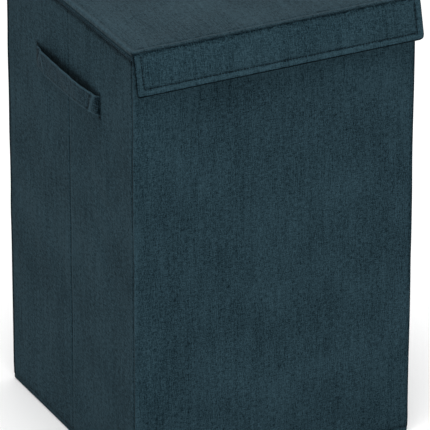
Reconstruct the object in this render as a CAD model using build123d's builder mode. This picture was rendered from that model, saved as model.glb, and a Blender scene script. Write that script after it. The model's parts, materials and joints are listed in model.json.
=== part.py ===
"""Collapsible lidded fabric hamper: cloth-covered boards joined by cloth hinges.

Each side wall is two half panels with a crease between them. The creases fold
inwards, so the front wall comes back against the rear wall. The base insert
lifts up against the rear wall first, the lid turns on its rear edge, and the
flap turns on the lid's front crease. Millimetres, Z up, front towards -Y,
origin on the floor under the middle of the walls.
"""
import os
from math import cos, radians, sin

from build123d import *

# Overall size, over the cloth
width = 350.0
depth = 330.0
height = 550.0  # floor to the top of the closed lid

# Layers of a wall, from the outside in
outer_cloth = 0.8
wall_board = 3.0
lining_cloth = 0.7
board_margin = 3.0  # how far a board stops short of its cloth pocket's ends
binding_height = 6.0

# Bottom: cloth turned up all round, and the lift-up insert that lies on it
bottom_cloth_thickness = 1.0
turn_up = 7.0  # the walls start above the turned-up edge
insert_board = 2.8
insert_cover = 0.6
insert_rest_gap = 0.2
insert_side_gap = 1.5

# Lid and flap
lid_board_thickness = 3.5
lid_rest_gap = 0.5
lid_overhang = 3.0
lid_rear_gap = 0.4
crease_overhang = 4.5  # how far the front crease stands in front of the wall
flap_board_thickness = 2.0
flap_drop = 49.0  # crease to the flap's lower edge, along the flap
flap_start = 2.5  # bare cloth between the crease and the flap's pocket
flap_flare = 14.0  # degrees that the flap leans out at rest
flap_corner_radius = 6.0

# Cloth hinges: a rounded fold on each turning axis, kept clear of what turns
fold_radius = 0.8
fold_gap = 0.3
tape_cloth = 0.6
tape_width = 10.0
hinge_strip_drop = 45.0
insert_tape_offset = 1.0
corner_clearance = 0.7

# Handle straps
strap_height = 24.0
strap_thickness = 2.0
strap_below_rim = 93.0  # rim to the middle of the strap
slit_spacing = 160.0  # between the two slits of one handle
strap_bow = 12.0  # how far the strap stands out from the wall
strap_tail = 16.0
strap_straight = 60.0  # the nearly straight middle of the grip
strap_bend_radius = 1.6
strap_grip_radius = 200.0
slit_clearance = 0.5
patch_cloth = 0.8
patch_margin = 6.0

# Worked out from the sizes above
wall = outer_cloth + wall_board + lining_cloth
lid_thickness = outer_cloth + lid_board_thickness + lining_cloth
flap_thickness = outer_cloth + flap_board_thickness + lining_cloth
insert_thickness = insert_board + 2 * insert_cover
clear_radius = fold_radius + fold_gap
rim = height - lid_thickness - lid_rest_gap
# Room at each corner for the lifted insert and the fold on the corner's axis
corner_gap = insert_tape_offset + insert_thickness + fold_radius + corner_clearance
corner_y = depth / 2 - wall - corner_gap
crease_y = -depth / 2 - crease_overhang
crease_z = height - fold_radius
lid_axis_y = depth / 2 + outer_cloth + fold_radius + fold_gap
insert_bottom = bottom_cloth_thickness + insert_rest_gap
insert_top = insert_bottom + insert_thickness
insert_axis_y = depth / 2 - wall - insert_tape_offset
strap_z = rim - strap_below_rim
slit_y = slit_spacing / 2
lid_half_width = width / 2 + lid_overhang

# Depth of each layer below a wall's outer face: (outside, inside)
cloth_layer = (0.0, outer_cloth)
board_layer = (outer_cloth, outer_cloth + wall_board)
lining_layer = (outer_cloth + wall_board, wall)


def save(builder, name):
    """Name the piece and write it."""
    builder.part.label = name
    export_step(builder.part, f"parts/{name}.step")


def rectangle_between(x_range, y_range):
    """Add a rectangle that spans the two ranges to the sketch in hand."""
    (x0, x1), (y0, y1) = sorted(x_range), sorted(y_range)
    with Locations(((x0 + x1) / 2, (y0 + y1) / 2)):
        Rectangle(x1 - x0, y1 - y0)


def block(x_range, y_range, z_range):
    """A plain block between two corners."""
    with BuildPart() as piece:
        with BuildSketch(Plane.XY.offset(z_range[0])):
            rectangle_between(x_range, y_range)
        extrude(amount=z_range[1] - z_range[0])
    return piece


os.makedirs("parts", exist_ok=True)

# ---- Front and rear walls: full width, with short returns round the corners ----


def end_wall_sheet(facing, layer, z_range):
    """Cloth of the front (facing -1) or rear (+1) wall, with a return at each end."""
    return_end = corner_y + fold_gap if layer is cloth_layer else corner_y + clear_radius
    face_y = facing * (depth / 2 - layer[0])
    side_x = width / 2 - layer[0]
    with BuildPart() as sheet:
        with BuildSketch(Plane.XY.offset(z_range[0])):
            rectangle_between((-side_x, side_x), (face_y, facing * (depth / 2 - layer[1])))
            for side in (-1, 1):
                rectangle_between(
                    (side * side_x, side * (width / 2 - layer[1])),
                    (face_y, facing * return_end),
                )
        extrude(amount=z_range[1] - z_range[0])
    return sheet


def end_wall_binding(facing):
    """Tape folded over the top of the front or rear wall and its returns."""
    legs = (
        (cloth_layer, corner_y + fold_gap),
        (lining_layer, corner_y + clear_radius),
    )
    with BuildPart() as tape:
        with BuildSketch(Plane.XY.offset(rim - binding_height)):
            for layer, return_end in legs:
                face_y = facing * (depth / 2 - layer[0])
                side_x = width / 2 - layer[0]
                rectangle_between((-side_x, side_x), (face_y, facing * (depth / 2 - layer[1])))
                for side in (-1, 1):
                    rectangle_between(
                        (side * side_x, side * (width / 2 - layer[1])),
                        (face_y, facing * return_end),
                    )
        extrude(amount=binding_height)
        with BuildSketch(Plane.XY.offset(rim - outer_cloth)):
            rectangle_between((-width / 2, width / 2), (facing * depth / 2, facing * (depth / 2 - wall)))
        extrude(amount=outer_cloth)
    return tape


cloth_z = (turn_up, rim - binding_height)
board_z = (turn_up, rim - outer_cloth)

for facing, name in ((1, "back"), (-1, "front")):
    save(end_wall_sheet(facing, cloth_layer, cloth_z), f"{name}_outer_cloth")
    save(end_wall_sheet(facing, lining_layer, cloth_z), f"{name}_lining")
    save(end_wall_binding(facing), f"{name}_rim_binding")
    board_x = width / 2 - wall - board_margin
    board_y = [facing * (depth / 2 - d) for d in board_layer]
    save(block((-board_x, board_x), board_y, board_z), f"{name}_board")


# ---- Side walls: two half panels each, from the crease to the corner axis ----


def side_sheet(side, half, layer, y_range, z_range, has_slit=True):
    """One layer of a half panel, with the slit that the strap passes through."""
    with BuildPart() as sheet:
        with BuildSketch(Plane.XY.offset(z_range[0])):
            rectangle_between(
                [side * (width / 2 - d) for d in layer],
                [half * y for y in y_range],
            )
        extrude(amount=z_range[1] - z_range[0])
        if has_slit:
            slit_height = strap_height + 2 * slit_clearance
            slit_width = strap_thickness + 2 * slit_clearance
            with BuildSketch(Plane.XY.offset(strap_z - slit_height / 2)):
                with Locations((side * (width / 2 - wall / 2), half * slit_y)):
                    Rectangle(2 * wall, slit_width)
            extrude(amount=slit_height, mode=Mode.SUBTRACT)
    return sheet


def side_binding(side, half):
    """Tape folded over the top of a half panel."""
    with BuildPart() as tape:
        with BuildSketch(Plane.XY.offset(rim - binding_height)):
            for layer, end in ((cloth_layer, corner_y - fold_gap), (lining_layer, corner_y - clear_radius)):
                rectangle_between(
                    [side * (width / 2 - d) for d in layer],
                    (half * clear_radius, half * end),
                )
        extrude(amount=binding_height)
        with BuildSketch(Plane.XY.offset(rim - outer_cloth)):
            rectangle_between(
                (side * width / 2, side * (width / 2 - wall)),
                (half * clear_radius, half * (corner_y - clear_radius)),
            )
        extrude(amount=outer_cloth)
    return tape


def corner_tape(side, half):
    """Tape inside a corner: a leaf on the half panel and a fold on the corner's axis."""
    inner_x = width / 2 - wall
    with BuildPart() as tape:
        with BuildSketch(Plane.XY.offset(turn_up)):
            rectangle_between(
                (side * inner_x, side * (inner_x - tape_cloth)),
                (half * corner_y, half * (corner_y - tape_width)),
            )
            with Locations((side * inner_x, half * corner_y)):
                Circle(fold_radius)
        extrude(amount=rim - turn_up)
    return tape


def crease_fold(side):
    """The outer cloth's fold at the middle of a side wall, on the crease's axis."""
    with BuildPart() as fold:
        with BuildSketch(Plane.XY.offset(turn_up)):
            with Locations((side * width / 2, 0)):
                Circle(fold_radius)
            rectangle_between((side * width / 2, side * (width / 2 - outer_cloth)), (0, clear_radius))
        extrude(amount=rim - turn_up)
    return fold


def handle_strap(side):
    """Strap through both slits, bowed outside and laid flat on the lining inside."""
    inside_x = width / 2 - wall - fold_gap / 2 - strap_thickness / 2
    outside_x = width / 2 + strap_thickness
    grip_x = width / 2 + strap_bow - strap_thickness / 2
    route = [
        (inside_x, slit_y + strap_tail),
        (inside_x, slit_y),
        (outside_x, slit_y),
        (grip_x, strap_straight / 2),
    ]
    route += [(x, -y) for x, y in reversed(route)]
    corner, grip = strap_bend_radius, strap_grip_radius
    with BuildPart() as strap:
        with BuildSketch(Plane.XY.offset(strap_z - strap_height / 2)):
            with BuildLine():
                FilletPolyline(
                    *[(side * x, y) for x, y in route],
                    radius=[corner, corner, grip, grip, corner, corner],
                )
            trace(line_width=strap_thickness)
        extrude(amount=strap_height)
    return strap


def handle_patch(side, half):
    """Patch sewn over the strap's tail on the inside."""
    tail_x = width / 2 - wall - fold_gap / 2 - strap_thickness
    start = slit_y + strap_thickness
    with BuildPart() as patch:
        with BuildSketch(Plane.XY.offset(strap_z - strap_height / 2 - patch_margin)):
            rectangle_between(
                (side * tail_x, side * (tail_x - patch_cloth)),
                (half * start, half * (slit_y + strap_tail + patch_margin)),
            )
        extrude(amount=strap_height + 2 * patch_margin)
    return patch


for side, side_name in ((-1, "left"), (1, "right")):
    save(crease_fold(side), f"{side_name}_crease_fold")
    save(handle_strap(side), f"{side_name}_handle_strap")
    for half, half_name in ((1, "rear"), (-1, "front")):
        name = f"{side_name}_{half_name}"
        cloth_y = (clear_radius, corner_y - fold_gap)
        lining_y = (clear_radius, corner_y - clear_radius)
        board_y = (clear_radius + board_margin, corner_y - clear_radius - board_margin)
        save(side_sheet(side, half, cloth_layer, cloth_y, cloth_z), f"{name}_outer_cloth")
        save(side_sheet(side, half, board_layer, board_y, board_z), f"{name}_board")
        save(side_sheet(side, half, lining_layer, lining_y, cloth_z), f"{name}_lining")
        save(side_binding(side, half), f"{name}_rim_binding")
        save(corner_tape(side, half), f"{name}_corner_tape")
        save(handle_patch(side, half), f"{name}_handle_patch")


# ---- Bottom: the outer cloth's tray and the lift-up insert ----

with BuildPart() as bottom_cloth:
    with BuildSketch(Plane.XY):
        Rectangle(width, depth)
    extrude(amount=turn_up)
    with BuildSketch(Plane.XY.offset(bottom_cloth_thickness)):
        Rectangle(width - 2 * outer_cloth, depth - 2 * outer_cloth)
    extrude(amount=turn_up - bottom_cloth_thickness, mode=Mode.SUBTRACT)
save(bottom_cloth, "bottom_cloth")

insert_half_width = width / 2 - wall - insert_side_gap
insert_rear = insert_axis_y - clear_radius
insert_front = -depth / 2 + wall + insert_side_gap

with BuildPart() as base_cover:
    with BuildSketch(Plane.XY.offset(insert_bottom)):
        rectangle_between((-insert_half_width, insert_half_width), (insert_front, insert_rear))
    extrude(amount=insert_thickness)
    # A pocket, open at the rear edge, that the board slides into
    with BuildSketch(Plane.XY.offset(insert_bottom + insert_cover)):
        pocket_x = insert_half_width - insert_cover
        rectangle_between((-pocket_x, pocket_x), (insert_front + insert_cover, insert_rear))
    extrude(amount=insert_board, mode=Mode.SUBTRACT)
save(base_cover, "base_cover")

insert_board_x = insert_half_width - insert_cover
save(
    block(
        (-insert_board_x, insert_board_x),
        (insert_front + insert_cover, insert_rear - board_margin),
        (insert_bottom + insert_cover, insert_bottom + insert_cover + insert_board),
    ),
    "base_board",
)

# Tape on the rear lining, with its fold on the insert's turning axis
with BuildPart() as base_hinge_tape:
    with BuildSketch(Plane.YZ.offset(-insert_half_width)):
        rectangle_between(
            (depth / 2 - wall - tape_cloth, depth / 2 - wall),
            (insert_top, insert_top + tape_width),
        )
        with Locations((insert_axis_y, insert_top)):
            Circle(tape_cloth)
    extrude(amount=2 * insert_half_width)
save(base_hinge_tape, "base_hinge_tape")


# ---- Lid ----

lid_rear = depth / 2 - lid_rear_gap
lid_front = crease_y + clear_radius
lid_body_front = -depth / 2
lid_inner_half = lid_half_width - outer_cloth

# Strip down the rear wall, with its fold on the lid's turning axis
with BuildPart() as lid_hinge_strip:
    with BuildSketch(Plane.YZ.offset(-width / 2)):
        rectangle_between(
            (depth / 2, depth / 2 + outer_cloth),
            (height - hinge_strip_drop, height),
        )
        rectangle_between((depth / 2, lid_axis_y), (height - 2 * fold_radius, height))
        with Locations((lid_axis_y, height - fold_radius)):
            Circle(fold_radius)
    extrude(amount=width)
save(lid_hinge_strip, "lid_hinge_strip")

# Top cloth turned down over the lid's sides and rear edge, and bare towards the crease
with BuildPart() as lid_top_cloth:
    with BuildSketch(Plane.XY.offset(height - lid_thickness)):
        rectangle_between((-lid_half_width, lid_half_width), (lid_front, lid_rear))
    extrude(amount=lid_thickness)
    with BuildSketch(Plane.XY.offset(height - lid_thickness)):
        rectangle_between((-lid_inner_half, lid_inner_half), (lid_body_front, lid_rear - outer_cloth))
        rectangle_between((-lid_half_width, lid_half_width), (lid_front, lid_body_front))
    extrude(amount=lid_thickness - outer_cloth, mode=Mode.SUBTRACT)
save(lid_top_cloth, "lid_top_cloth")

board_x_range = (-lid_inner_half, lid_inner_half)
board_y_range = (lid_body_front, lid_rear - outer_cloth)
lining_top = height - lid_thickness + lining_cloth
save(block(board_x_range, board_y_range, (lining_top, height - outer_cloth)), "lid_board")
save(block(board_x_range, board_y_range, (height - lid_thickness, lining_top)), "lid_lining")

# The fold between the lid and its flap, with a leaf sewn under the top cloth
with BuildPart() as flap_fold:
    with BuildSketch(Plane.YZ.offset(-lid_half_width)):
        leaf_top = height - outer_cloth
        rectangle_between((crease_y, lid_body_front), (leaf_top - tape_cloth, leaf_top))
        rectangle_between((crease_y, lid_front), (leaf_top - tape_cloth, height))
        with Locations((crease_y, crease_z)):
            Circle(fold_radius)
    extrude(amount=2 * lid_half_width)
save(flap_fold, "flap_fold")


# ---- Flap, drawn in its own leaning plane ----

lean = radians(flap_flare)
# Local X runs along the crease, local Y up the flap, local Z out of its face
flap_plane = Plane(origin=(0, crease_y, crease_z), x_dir=(1, 0, 0), z_dir=(0, -cos(lean), sin(lean)))
flap_face = fold_radius  # the flap's outer face, measured from the crease's axis


def flap_outline(inset, corner_radius):
    """Rectangle with rounded lower corners, drawn this far inside the flap's edge."""
    rectangle_between(
        (-lid_half_width + inset, lid_half_width - inset),
        (-flap_drop + inset, -flap_start),
    )
    fillet(vertices().group_by(Axis.Y)[0], corner_radius)


# Outer cloth turned in over the flap's sides and lower edge
with BuildPart() as flap_outer_cloth:
    with BuildSketch(flap_plane.offset(flap_face - flap_thickness)):
        flap_outline(0, flap_corner_radius)
    extrude(amount=flap_thickness)
    with BuildSketch(flap_plane.offset(flap_face - flap_thickness)):
        flap_outline(outer_cloth, flap_corner_radius - outer_cloth)
    extrude(amount=flap_thickness - outer_cloth, mode=Mode.SUBTRACT)
save(flap_outer_cloth, "flap_outer_cloth")

with BuildPart() as flap_board:
    with BuildSketch(flap_plane.offset(flap_face - outer_cloth - flap_board_thickness)):
        flap_outline(outer_cloth, flap_corner_radius - outer_cloth)
    extrude(amount=flap_board_thickness)
save(flap_board, "flap_board")

with BuildPart() as flap_lining:
    with BuildSketch(flap_plane.offset(flap_face - flap_thickness)):
        flap_outline(outer_cloth, flap_corner_radius - outer_cloth)
    extrude(amount=lining_cloth)
save(flap_lining, "flap_lining")
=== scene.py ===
# %% [markdown]
# # A folding cloth storage bin, built around its measured frame
# The frame holds every board, hinge axis and strap at its real size. This lesson adds what a
# frame can't show: linen-look cloth stretched over boards, a creased side wall, a lid with a
# stitched flap, soft strap handles, and the lining that shows when the lid is open. The first
# cell loads the frame and keeps its box, so that the cloth can be compared with it at the end.

# %% Load the frame
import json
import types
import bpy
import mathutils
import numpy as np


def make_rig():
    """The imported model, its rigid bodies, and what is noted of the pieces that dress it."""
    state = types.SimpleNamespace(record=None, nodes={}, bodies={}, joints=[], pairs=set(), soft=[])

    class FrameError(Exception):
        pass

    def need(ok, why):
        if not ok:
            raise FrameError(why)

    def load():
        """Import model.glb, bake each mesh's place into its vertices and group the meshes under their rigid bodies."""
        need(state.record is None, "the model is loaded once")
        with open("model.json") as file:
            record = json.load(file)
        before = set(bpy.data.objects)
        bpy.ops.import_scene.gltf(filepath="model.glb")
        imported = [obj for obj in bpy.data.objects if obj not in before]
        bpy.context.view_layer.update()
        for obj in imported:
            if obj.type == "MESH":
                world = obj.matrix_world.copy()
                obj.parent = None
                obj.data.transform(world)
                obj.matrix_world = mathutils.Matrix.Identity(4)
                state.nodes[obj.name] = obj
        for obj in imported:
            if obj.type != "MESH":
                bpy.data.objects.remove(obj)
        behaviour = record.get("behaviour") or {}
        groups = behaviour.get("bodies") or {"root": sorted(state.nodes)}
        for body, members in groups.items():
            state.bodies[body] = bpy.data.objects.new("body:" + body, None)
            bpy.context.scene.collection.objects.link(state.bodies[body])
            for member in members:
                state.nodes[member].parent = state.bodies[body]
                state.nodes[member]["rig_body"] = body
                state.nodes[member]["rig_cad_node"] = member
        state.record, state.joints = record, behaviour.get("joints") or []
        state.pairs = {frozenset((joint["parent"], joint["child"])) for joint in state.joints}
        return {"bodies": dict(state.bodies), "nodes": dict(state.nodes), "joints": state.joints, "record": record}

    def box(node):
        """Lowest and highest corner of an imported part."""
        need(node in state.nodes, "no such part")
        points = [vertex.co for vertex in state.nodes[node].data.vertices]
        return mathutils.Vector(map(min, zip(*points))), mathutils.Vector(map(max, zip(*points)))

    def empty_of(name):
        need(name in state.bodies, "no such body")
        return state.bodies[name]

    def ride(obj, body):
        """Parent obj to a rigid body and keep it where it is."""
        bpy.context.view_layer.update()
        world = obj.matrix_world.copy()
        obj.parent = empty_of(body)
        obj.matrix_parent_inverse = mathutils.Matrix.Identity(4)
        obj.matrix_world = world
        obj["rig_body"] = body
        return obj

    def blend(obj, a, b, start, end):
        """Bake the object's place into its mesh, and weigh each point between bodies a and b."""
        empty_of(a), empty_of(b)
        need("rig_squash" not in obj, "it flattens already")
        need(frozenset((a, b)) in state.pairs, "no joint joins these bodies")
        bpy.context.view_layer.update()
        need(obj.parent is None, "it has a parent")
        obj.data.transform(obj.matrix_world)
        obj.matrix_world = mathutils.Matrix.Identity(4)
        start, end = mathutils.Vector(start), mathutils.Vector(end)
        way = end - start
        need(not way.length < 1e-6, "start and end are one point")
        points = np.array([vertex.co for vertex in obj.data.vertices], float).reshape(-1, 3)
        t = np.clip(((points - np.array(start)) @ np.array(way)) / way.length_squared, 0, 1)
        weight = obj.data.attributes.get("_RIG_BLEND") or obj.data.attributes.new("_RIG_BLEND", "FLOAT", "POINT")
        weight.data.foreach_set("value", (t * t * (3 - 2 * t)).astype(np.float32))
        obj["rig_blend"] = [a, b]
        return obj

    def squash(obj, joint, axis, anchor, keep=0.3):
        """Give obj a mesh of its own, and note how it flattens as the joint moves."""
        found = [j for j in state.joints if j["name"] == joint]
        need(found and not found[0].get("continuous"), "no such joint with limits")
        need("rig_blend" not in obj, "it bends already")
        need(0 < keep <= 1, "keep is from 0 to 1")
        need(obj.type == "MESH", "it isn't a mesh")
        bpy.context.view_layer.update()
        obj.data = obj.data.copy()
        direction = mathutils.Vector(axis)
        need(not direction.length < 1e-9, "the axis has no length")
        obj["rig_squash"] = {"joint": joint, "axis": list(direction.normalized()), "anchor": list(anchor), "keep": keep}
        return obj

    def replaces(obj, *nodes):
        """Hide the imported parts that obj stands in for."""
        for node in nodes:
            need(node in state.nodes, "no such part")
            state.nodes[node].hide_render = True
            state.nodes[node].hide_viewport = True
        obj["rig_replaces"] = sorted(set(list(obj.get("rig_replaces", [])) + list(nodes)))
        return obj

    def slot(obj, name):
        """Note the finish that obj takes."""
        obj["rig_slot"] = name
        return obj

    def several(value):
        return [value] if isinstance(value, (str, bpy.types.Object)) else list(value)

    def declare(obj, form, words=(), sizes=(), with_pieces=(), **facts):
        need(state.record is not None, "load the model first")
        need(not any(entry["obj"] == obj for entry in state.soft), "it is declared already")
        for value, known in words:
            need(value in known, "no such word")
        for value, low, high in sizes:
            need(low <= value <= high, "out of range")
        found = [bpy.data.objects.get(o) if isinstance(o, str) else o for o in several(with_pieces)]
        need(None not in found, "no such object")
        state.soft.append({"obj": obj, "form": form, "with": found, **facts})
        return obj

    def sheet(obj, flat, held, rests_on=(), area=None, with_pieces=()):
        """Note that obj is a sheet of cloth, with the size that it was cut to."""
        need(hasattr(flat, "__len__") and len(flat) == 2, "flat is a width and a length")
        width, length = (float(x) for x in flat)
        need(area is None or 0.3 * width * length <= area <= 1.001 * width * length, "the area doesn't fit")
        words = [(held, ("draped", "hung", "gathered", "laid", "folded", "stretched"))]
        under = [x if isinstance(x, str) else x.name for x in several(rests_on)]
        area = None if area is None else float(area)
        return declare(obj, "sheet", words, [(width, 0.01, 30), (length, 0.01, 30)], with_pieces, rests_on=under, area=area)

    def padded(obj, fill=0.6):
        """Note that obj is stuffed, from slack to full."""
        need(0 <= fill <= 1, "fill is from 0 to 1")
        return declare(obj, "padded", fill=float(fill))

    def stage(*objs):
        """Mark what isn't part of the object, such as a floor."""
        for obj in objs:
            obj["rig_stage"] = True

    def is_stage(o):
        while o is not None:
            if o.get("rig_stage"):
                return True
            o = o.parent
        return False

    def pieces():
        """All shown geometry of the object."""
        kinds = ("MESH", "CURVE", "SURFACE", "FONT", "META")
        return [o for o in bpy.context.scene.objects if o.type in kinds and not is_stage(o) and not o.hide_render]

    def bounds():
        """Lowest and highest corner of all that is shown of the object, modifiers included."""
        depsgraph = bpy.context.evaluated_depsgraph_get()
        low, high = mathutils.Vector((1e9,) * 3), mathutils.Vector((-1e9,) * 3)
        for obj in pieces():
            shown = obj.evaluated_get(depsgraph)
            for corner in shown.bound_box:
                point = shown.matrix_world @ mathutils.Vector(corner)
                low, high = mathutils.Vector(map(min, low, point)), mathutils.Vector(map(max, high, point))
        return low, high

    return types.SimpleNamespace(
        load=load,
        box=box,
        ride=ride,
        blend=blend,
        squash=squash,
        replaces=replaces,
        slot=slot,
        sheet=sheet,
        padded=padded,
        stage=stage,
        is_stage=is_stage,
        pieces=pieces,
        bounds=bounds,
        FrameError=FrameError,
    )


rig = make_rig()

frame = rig.load()

import json
from math import cos, pi, radians, sin

import bpy
import numpy as np
from mathutils import Matrix, Vector

cad_low, cad_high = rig.bounds()
MM = 0.001
print("frame:", len(frame["nodes"]), "nodes in", len(frame["bodies"]), "bodies")

# %% [markdown]
# ## Sizes from the frame
# Every place in this script comes from the frame's nodes and joints. The walls' outer face, the
# rim, the corner axes and the crease of the lid are read once here and named in plain words.

# %% Read the sizes
joint_at = {j["name"]: Vector(j["pos_m"]) for j in frame["joints"]}
low = {node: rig.box(node)[0] for node in frame["nodes"]}
high = {node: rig.box(node)[1] for node in frame["nodes"]}

HALF = high["back_outer_cloth"].x
FRONT = low["bottom_cloth"].y
REAR = high["back_outer_cloth"].y
RIM = high["front_rim_binding"].z
BINDING_FOOT = low["front_rim_binding"].z
LINING_FOOT = low["front_lining"].z
CLOTH = REAR - high["back_board"].y
WALL = high["left_rear_lining"].x + HALF
LINING = WALL - (high["left_rear_board"].x + HALF)
SIDE_BOARD_END = high["left_rear_board"].y
FACE_BOARD_END = high["back_board"].x
CORNER_Y = joint_at["side_fold"].y
print(f"walls {2000 * HALF:.0f} x {1000 * (REAR - FRONT):.0f} mm, rim at {1000 * RIM:.1f} mm,",
      f"wall {1000 * WALL:.1f} mm thick")

# %% [markdown]
# ## One tool for every soft piece: a bent slab
# Cloth over a board, a hem, a strap and a padded lid are all the same thing: a flat cut with a
# thickness, laid along a path. So one function makes them. It takes a grid over the flat cut,
# rounds the cut's corners, gives each point a height above and below, thins the edge to a round
# hem, and lays the grid along the path. Seen that way, each piece is only a path and a relief.
# Subdivision would give round edges too, but it would also move the edges off the frame's sizes.

# %% Grid lines and rounded corners
def spaced(start, stop, step, rims=(0, 0), fine=()):
    """Grid lines from start to stop about a step apart, closer together over a round rim's width
    at either end, and around each (centre, reach, count) in fine."""
    steps = np.array([0.0, 0.05, 0.18, 0.4, 0.7, 1.0])
    exact = [np.array([start, stop])]
    exact += [end + way * rim * steps for end, way, rim in ((start, 1, rims[0]), (stop, -1, rims[1])) if rim]
    exact += [centre + reach * np.linspace(-1, 1, number) for centre, reach, number in fine]
    exact = np.unique(np.round(np.concatenate(exact), 7))
    exact = np.concatenate([[start], exact[(exact > start + 1e-6) & (exact < stop - 1e-6)], [stop]])
    even = np.linspace(start, stop, max(2, int(round((stop - start) / step)) + 1))
    clear = np.abs(even[:, None] - exact[None, :]).min(1) > 0.3 * min(step, 4 * MM)
    return np.sort(np.concatenate([exact, even[clear]]))


def round_corners(a, b, corners):
    """Pulls the corner squares of a flat cut into quarter discs, so that (s, t) in a square goes to
    (s sqrt(1 - t^2 / 2), t sqrt(1 - s^2 / 2)). corners holds four radii, in the order
    low a low b, high a low b, low a high b, high a high b."""
    new_a, new_b = a.copy(), b.copy()
    low_a, low_b, high_a, high_b = a.min(), b.min(), a.max(), b.max()
    places = [(low_a, low_b, 1, 1), (high_a, low_b, -1, 1), (low_a, high_b, 1, -1), (high_a, high_b, -1, -1)]
    for (end_a, end_b, way_a, way_b), radius in zip(places, corners):
        if radius:
            s = 1 - way_a * (a - end_a) / radius
            t = 1 - way_b * (b - end_b) / radius
            inside = (s > 0) & (t > 0)
            s, t = np.clip(s, 0, 1), np.clip(t, 0, 1)
            new_a = np.where(inside, end_a + way_a * radius * (1 - s * np.sqrt(1 - t * t / 2)), new_a)
            new_b = np.where(inside, end_b + way_b * radius * (1 - t * np.sqrt(1 - s * s / 2)), new_b)
    return new_a, new_b


# %% Put a mesh in the scene
def make_mesh(name, places, faces, uv, sharp=40, seam=None):
    """A mesh object at the origin from vertex places, faces and one UV for each vertex. Its marks are a
    number for each vertex: below 0 where the cloth is painted darker, as painted shade and dark seam
    lines, above 0 where it is painted lighter, as a painted highlight."""
    used = np.zeros(len(places), bool)
    used[faces.ravel()] = True
    faces = (np.cumsum(used) - 1)[faces]
    places, uv = places[used], uv[used]
    mesh = bpy.data.meshes.new(name)
    mesh.from_pydata(places.tolist(), [], faces.tolist())
    layer = mesh.uv_layers.new(name="cloth")
    loops = np.empty(len(mesh.loops), np.int32)
    mesh.loops.foreach_get("vertex_index", loops)
    layer.data.foreach_set("uv", uv[loops].astype(np.float32).ravel())
    mesh.polygons.foreach_set("use_smooth", np.ones(len(mesh.polygons), bool))
    if seam is not None:
        marks = mesh.attributes.new("seam", "FLOAT", "POINT")
        marks.data.foreach_set("value", seam[used].astype(np.float32))
    mesh.update()
    mesh.set_sharp_from_angle(angle=radians(sharp))
    piece = bpy.data.objects.new(name, mesh)
    bpy.context.scene.collection.objects.link(piece)
    return piece


def quads(rows, columns, skip=None):
    """The quads of a rows x columns grid, without the cells marked in skip."""
    index = np.arange(rows * columns).reshape(rows, columns)
    cells = np.stack([index[:-1, :-1], index[1:, :-1], index[1:, 1:], index[:-1, 1:]], -1)
    return cells.reshape(-1, 4) if skip is None else cells[~skip]


# %% Close two grids into one slab
HEM_POWER = 2.4
THINNEST = 0.03


def closed_slab(name, face, back, uv, skip=None, shape=None, seam=None):
    """A closed slab from two grids of places, its face and its back. Each edge that only one quad of
    the face uses, at the outline or round an opening, gets a quad down to the back. If a middle quad
    of the face looks towards the back, every quad is turned over."""
    front_faces = quads(*face.shape[:2], skip)
    edges = np.concatenate([front_faces[:, [i, (i + 1) % 4]] for i in range(4)])
    _, first, uses = np.unique(np.sort(edges, 1), axis=0, return_index=True, return_counts=True)
    rim = edges[first[uses == 1]]
    total = face.shape[0] * face.shape[1]
    sides = np.stack([rim[:, 1], rim[:, 0], rim[:, 0] + total, rim[:, 1] + total], 1)
    faces = np.concatenate([front_faces, front_faces[:, ::-1] + total, sides])
    i, j = face.shape[0] // 2, face.shape[1] // 2
    looks = np.cross(face[i, j] - face[i - 1, j], face[i, j] - face[i, j - 1])
    if np.dot(looks, face[i, j] - back[i, j]) < 0:
        faces = faces[:, ::-1]
    places = np.concatenate([face.reshape(-1, 3), back.reshape(-1, 3)])
    if shape is not None:
        places = shape(places)
    flat = uv.reshape(-1, 2)
    marks = None if seam is None else np.tile(seam.ravel(), 2)
    return make_mesh(name, places, faces, np.concatenate([flat, flat]), seam=marks)


# %% The bent slab
def bent_slab(name, a, b, across, path, top, under, rims=(0, 0, 0, 0), corners=(0, 0, 0, 0), holes=(),
              shape=None, uv_from=(0.0, 0.0), uv_along="b", seam=None):
    """A closed soft slab. A grid point (a, b) of the flat cut stands at path(b) + a across + height
    normal(b), where height is top(a, b) on the face and under(a, b) on the back. Over a rim's width r
    from an edge, at distance d, both heights close on their middle by (1 - (1 - d/r)^2.4)^(1/2.4),
    which makes a round hem. holes are (a0, a1, b0, b1) openings, shape moves the finished points, uv_along
    says which of a and b the UV's first number follows, and the last argument gives each (a, b) its marks:
    painted shade and dark seam lines below 0, painted highlights above 0."""
    grid_a, grid_b = np.meshgrid(a, b, indexing="ij")
    close = np.ones_like(grid_a)
    distances = (grid_a - a[0], a[-1] - grid_a, grid_b - b[0], b[-1] - grid_b)
    for distance, rim in zip(distances, rims):
        if rim:
            near = np.clip(distance / rim, 0, 1)
            close = np.minimum(close, (1 - (1 - near) ** HEM_POWER) ** (1 / HEM_POWER))
    close = np.maximum(close, THINNEST)
    cut_a, cut_b = round_corners(grid_a, grid_b, corners)
    upper, lower = top(cut_a, cut_b), under(cut_a, cut_b)
    middle = (upper + lower) / 2
    points, normals = path(cut_b)
    base = points + cut_a[..., None] * np.array(across, float)
    face = base + normals * (middle + close * (upper - middle))[..., None]
    back = base + normals * (middle + close * (lower - middle))[..., None]
    skip = np.zeros((len(a) - 1, len(b) - 1), bool)
    mid_a, mid_b = (a[1:] + a[:-1]) / 2, (b[1:] + b[:-1]) / 2
    for a0, a1, b0, b1 in holes:
        skip |= ((mid_a > a0) & (mid_a < a1))[:, None] & ((mid_b > b0) & (mid_b < b1))[None, :]
    across_down = (cut_b, cut_a) if uv_along == "b" else (cut_a, cut_b)
    uv = np.stack(across_down, -1) + np.array(uv_from)
    return closed_slab(name, face, back, uv, skip, shape, None if seam is None else seam(cut_a, cut_b))


def level(height):
    """The same height all over the cut."""
    return lambda a, b: np.full_like(a, height)


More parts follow.
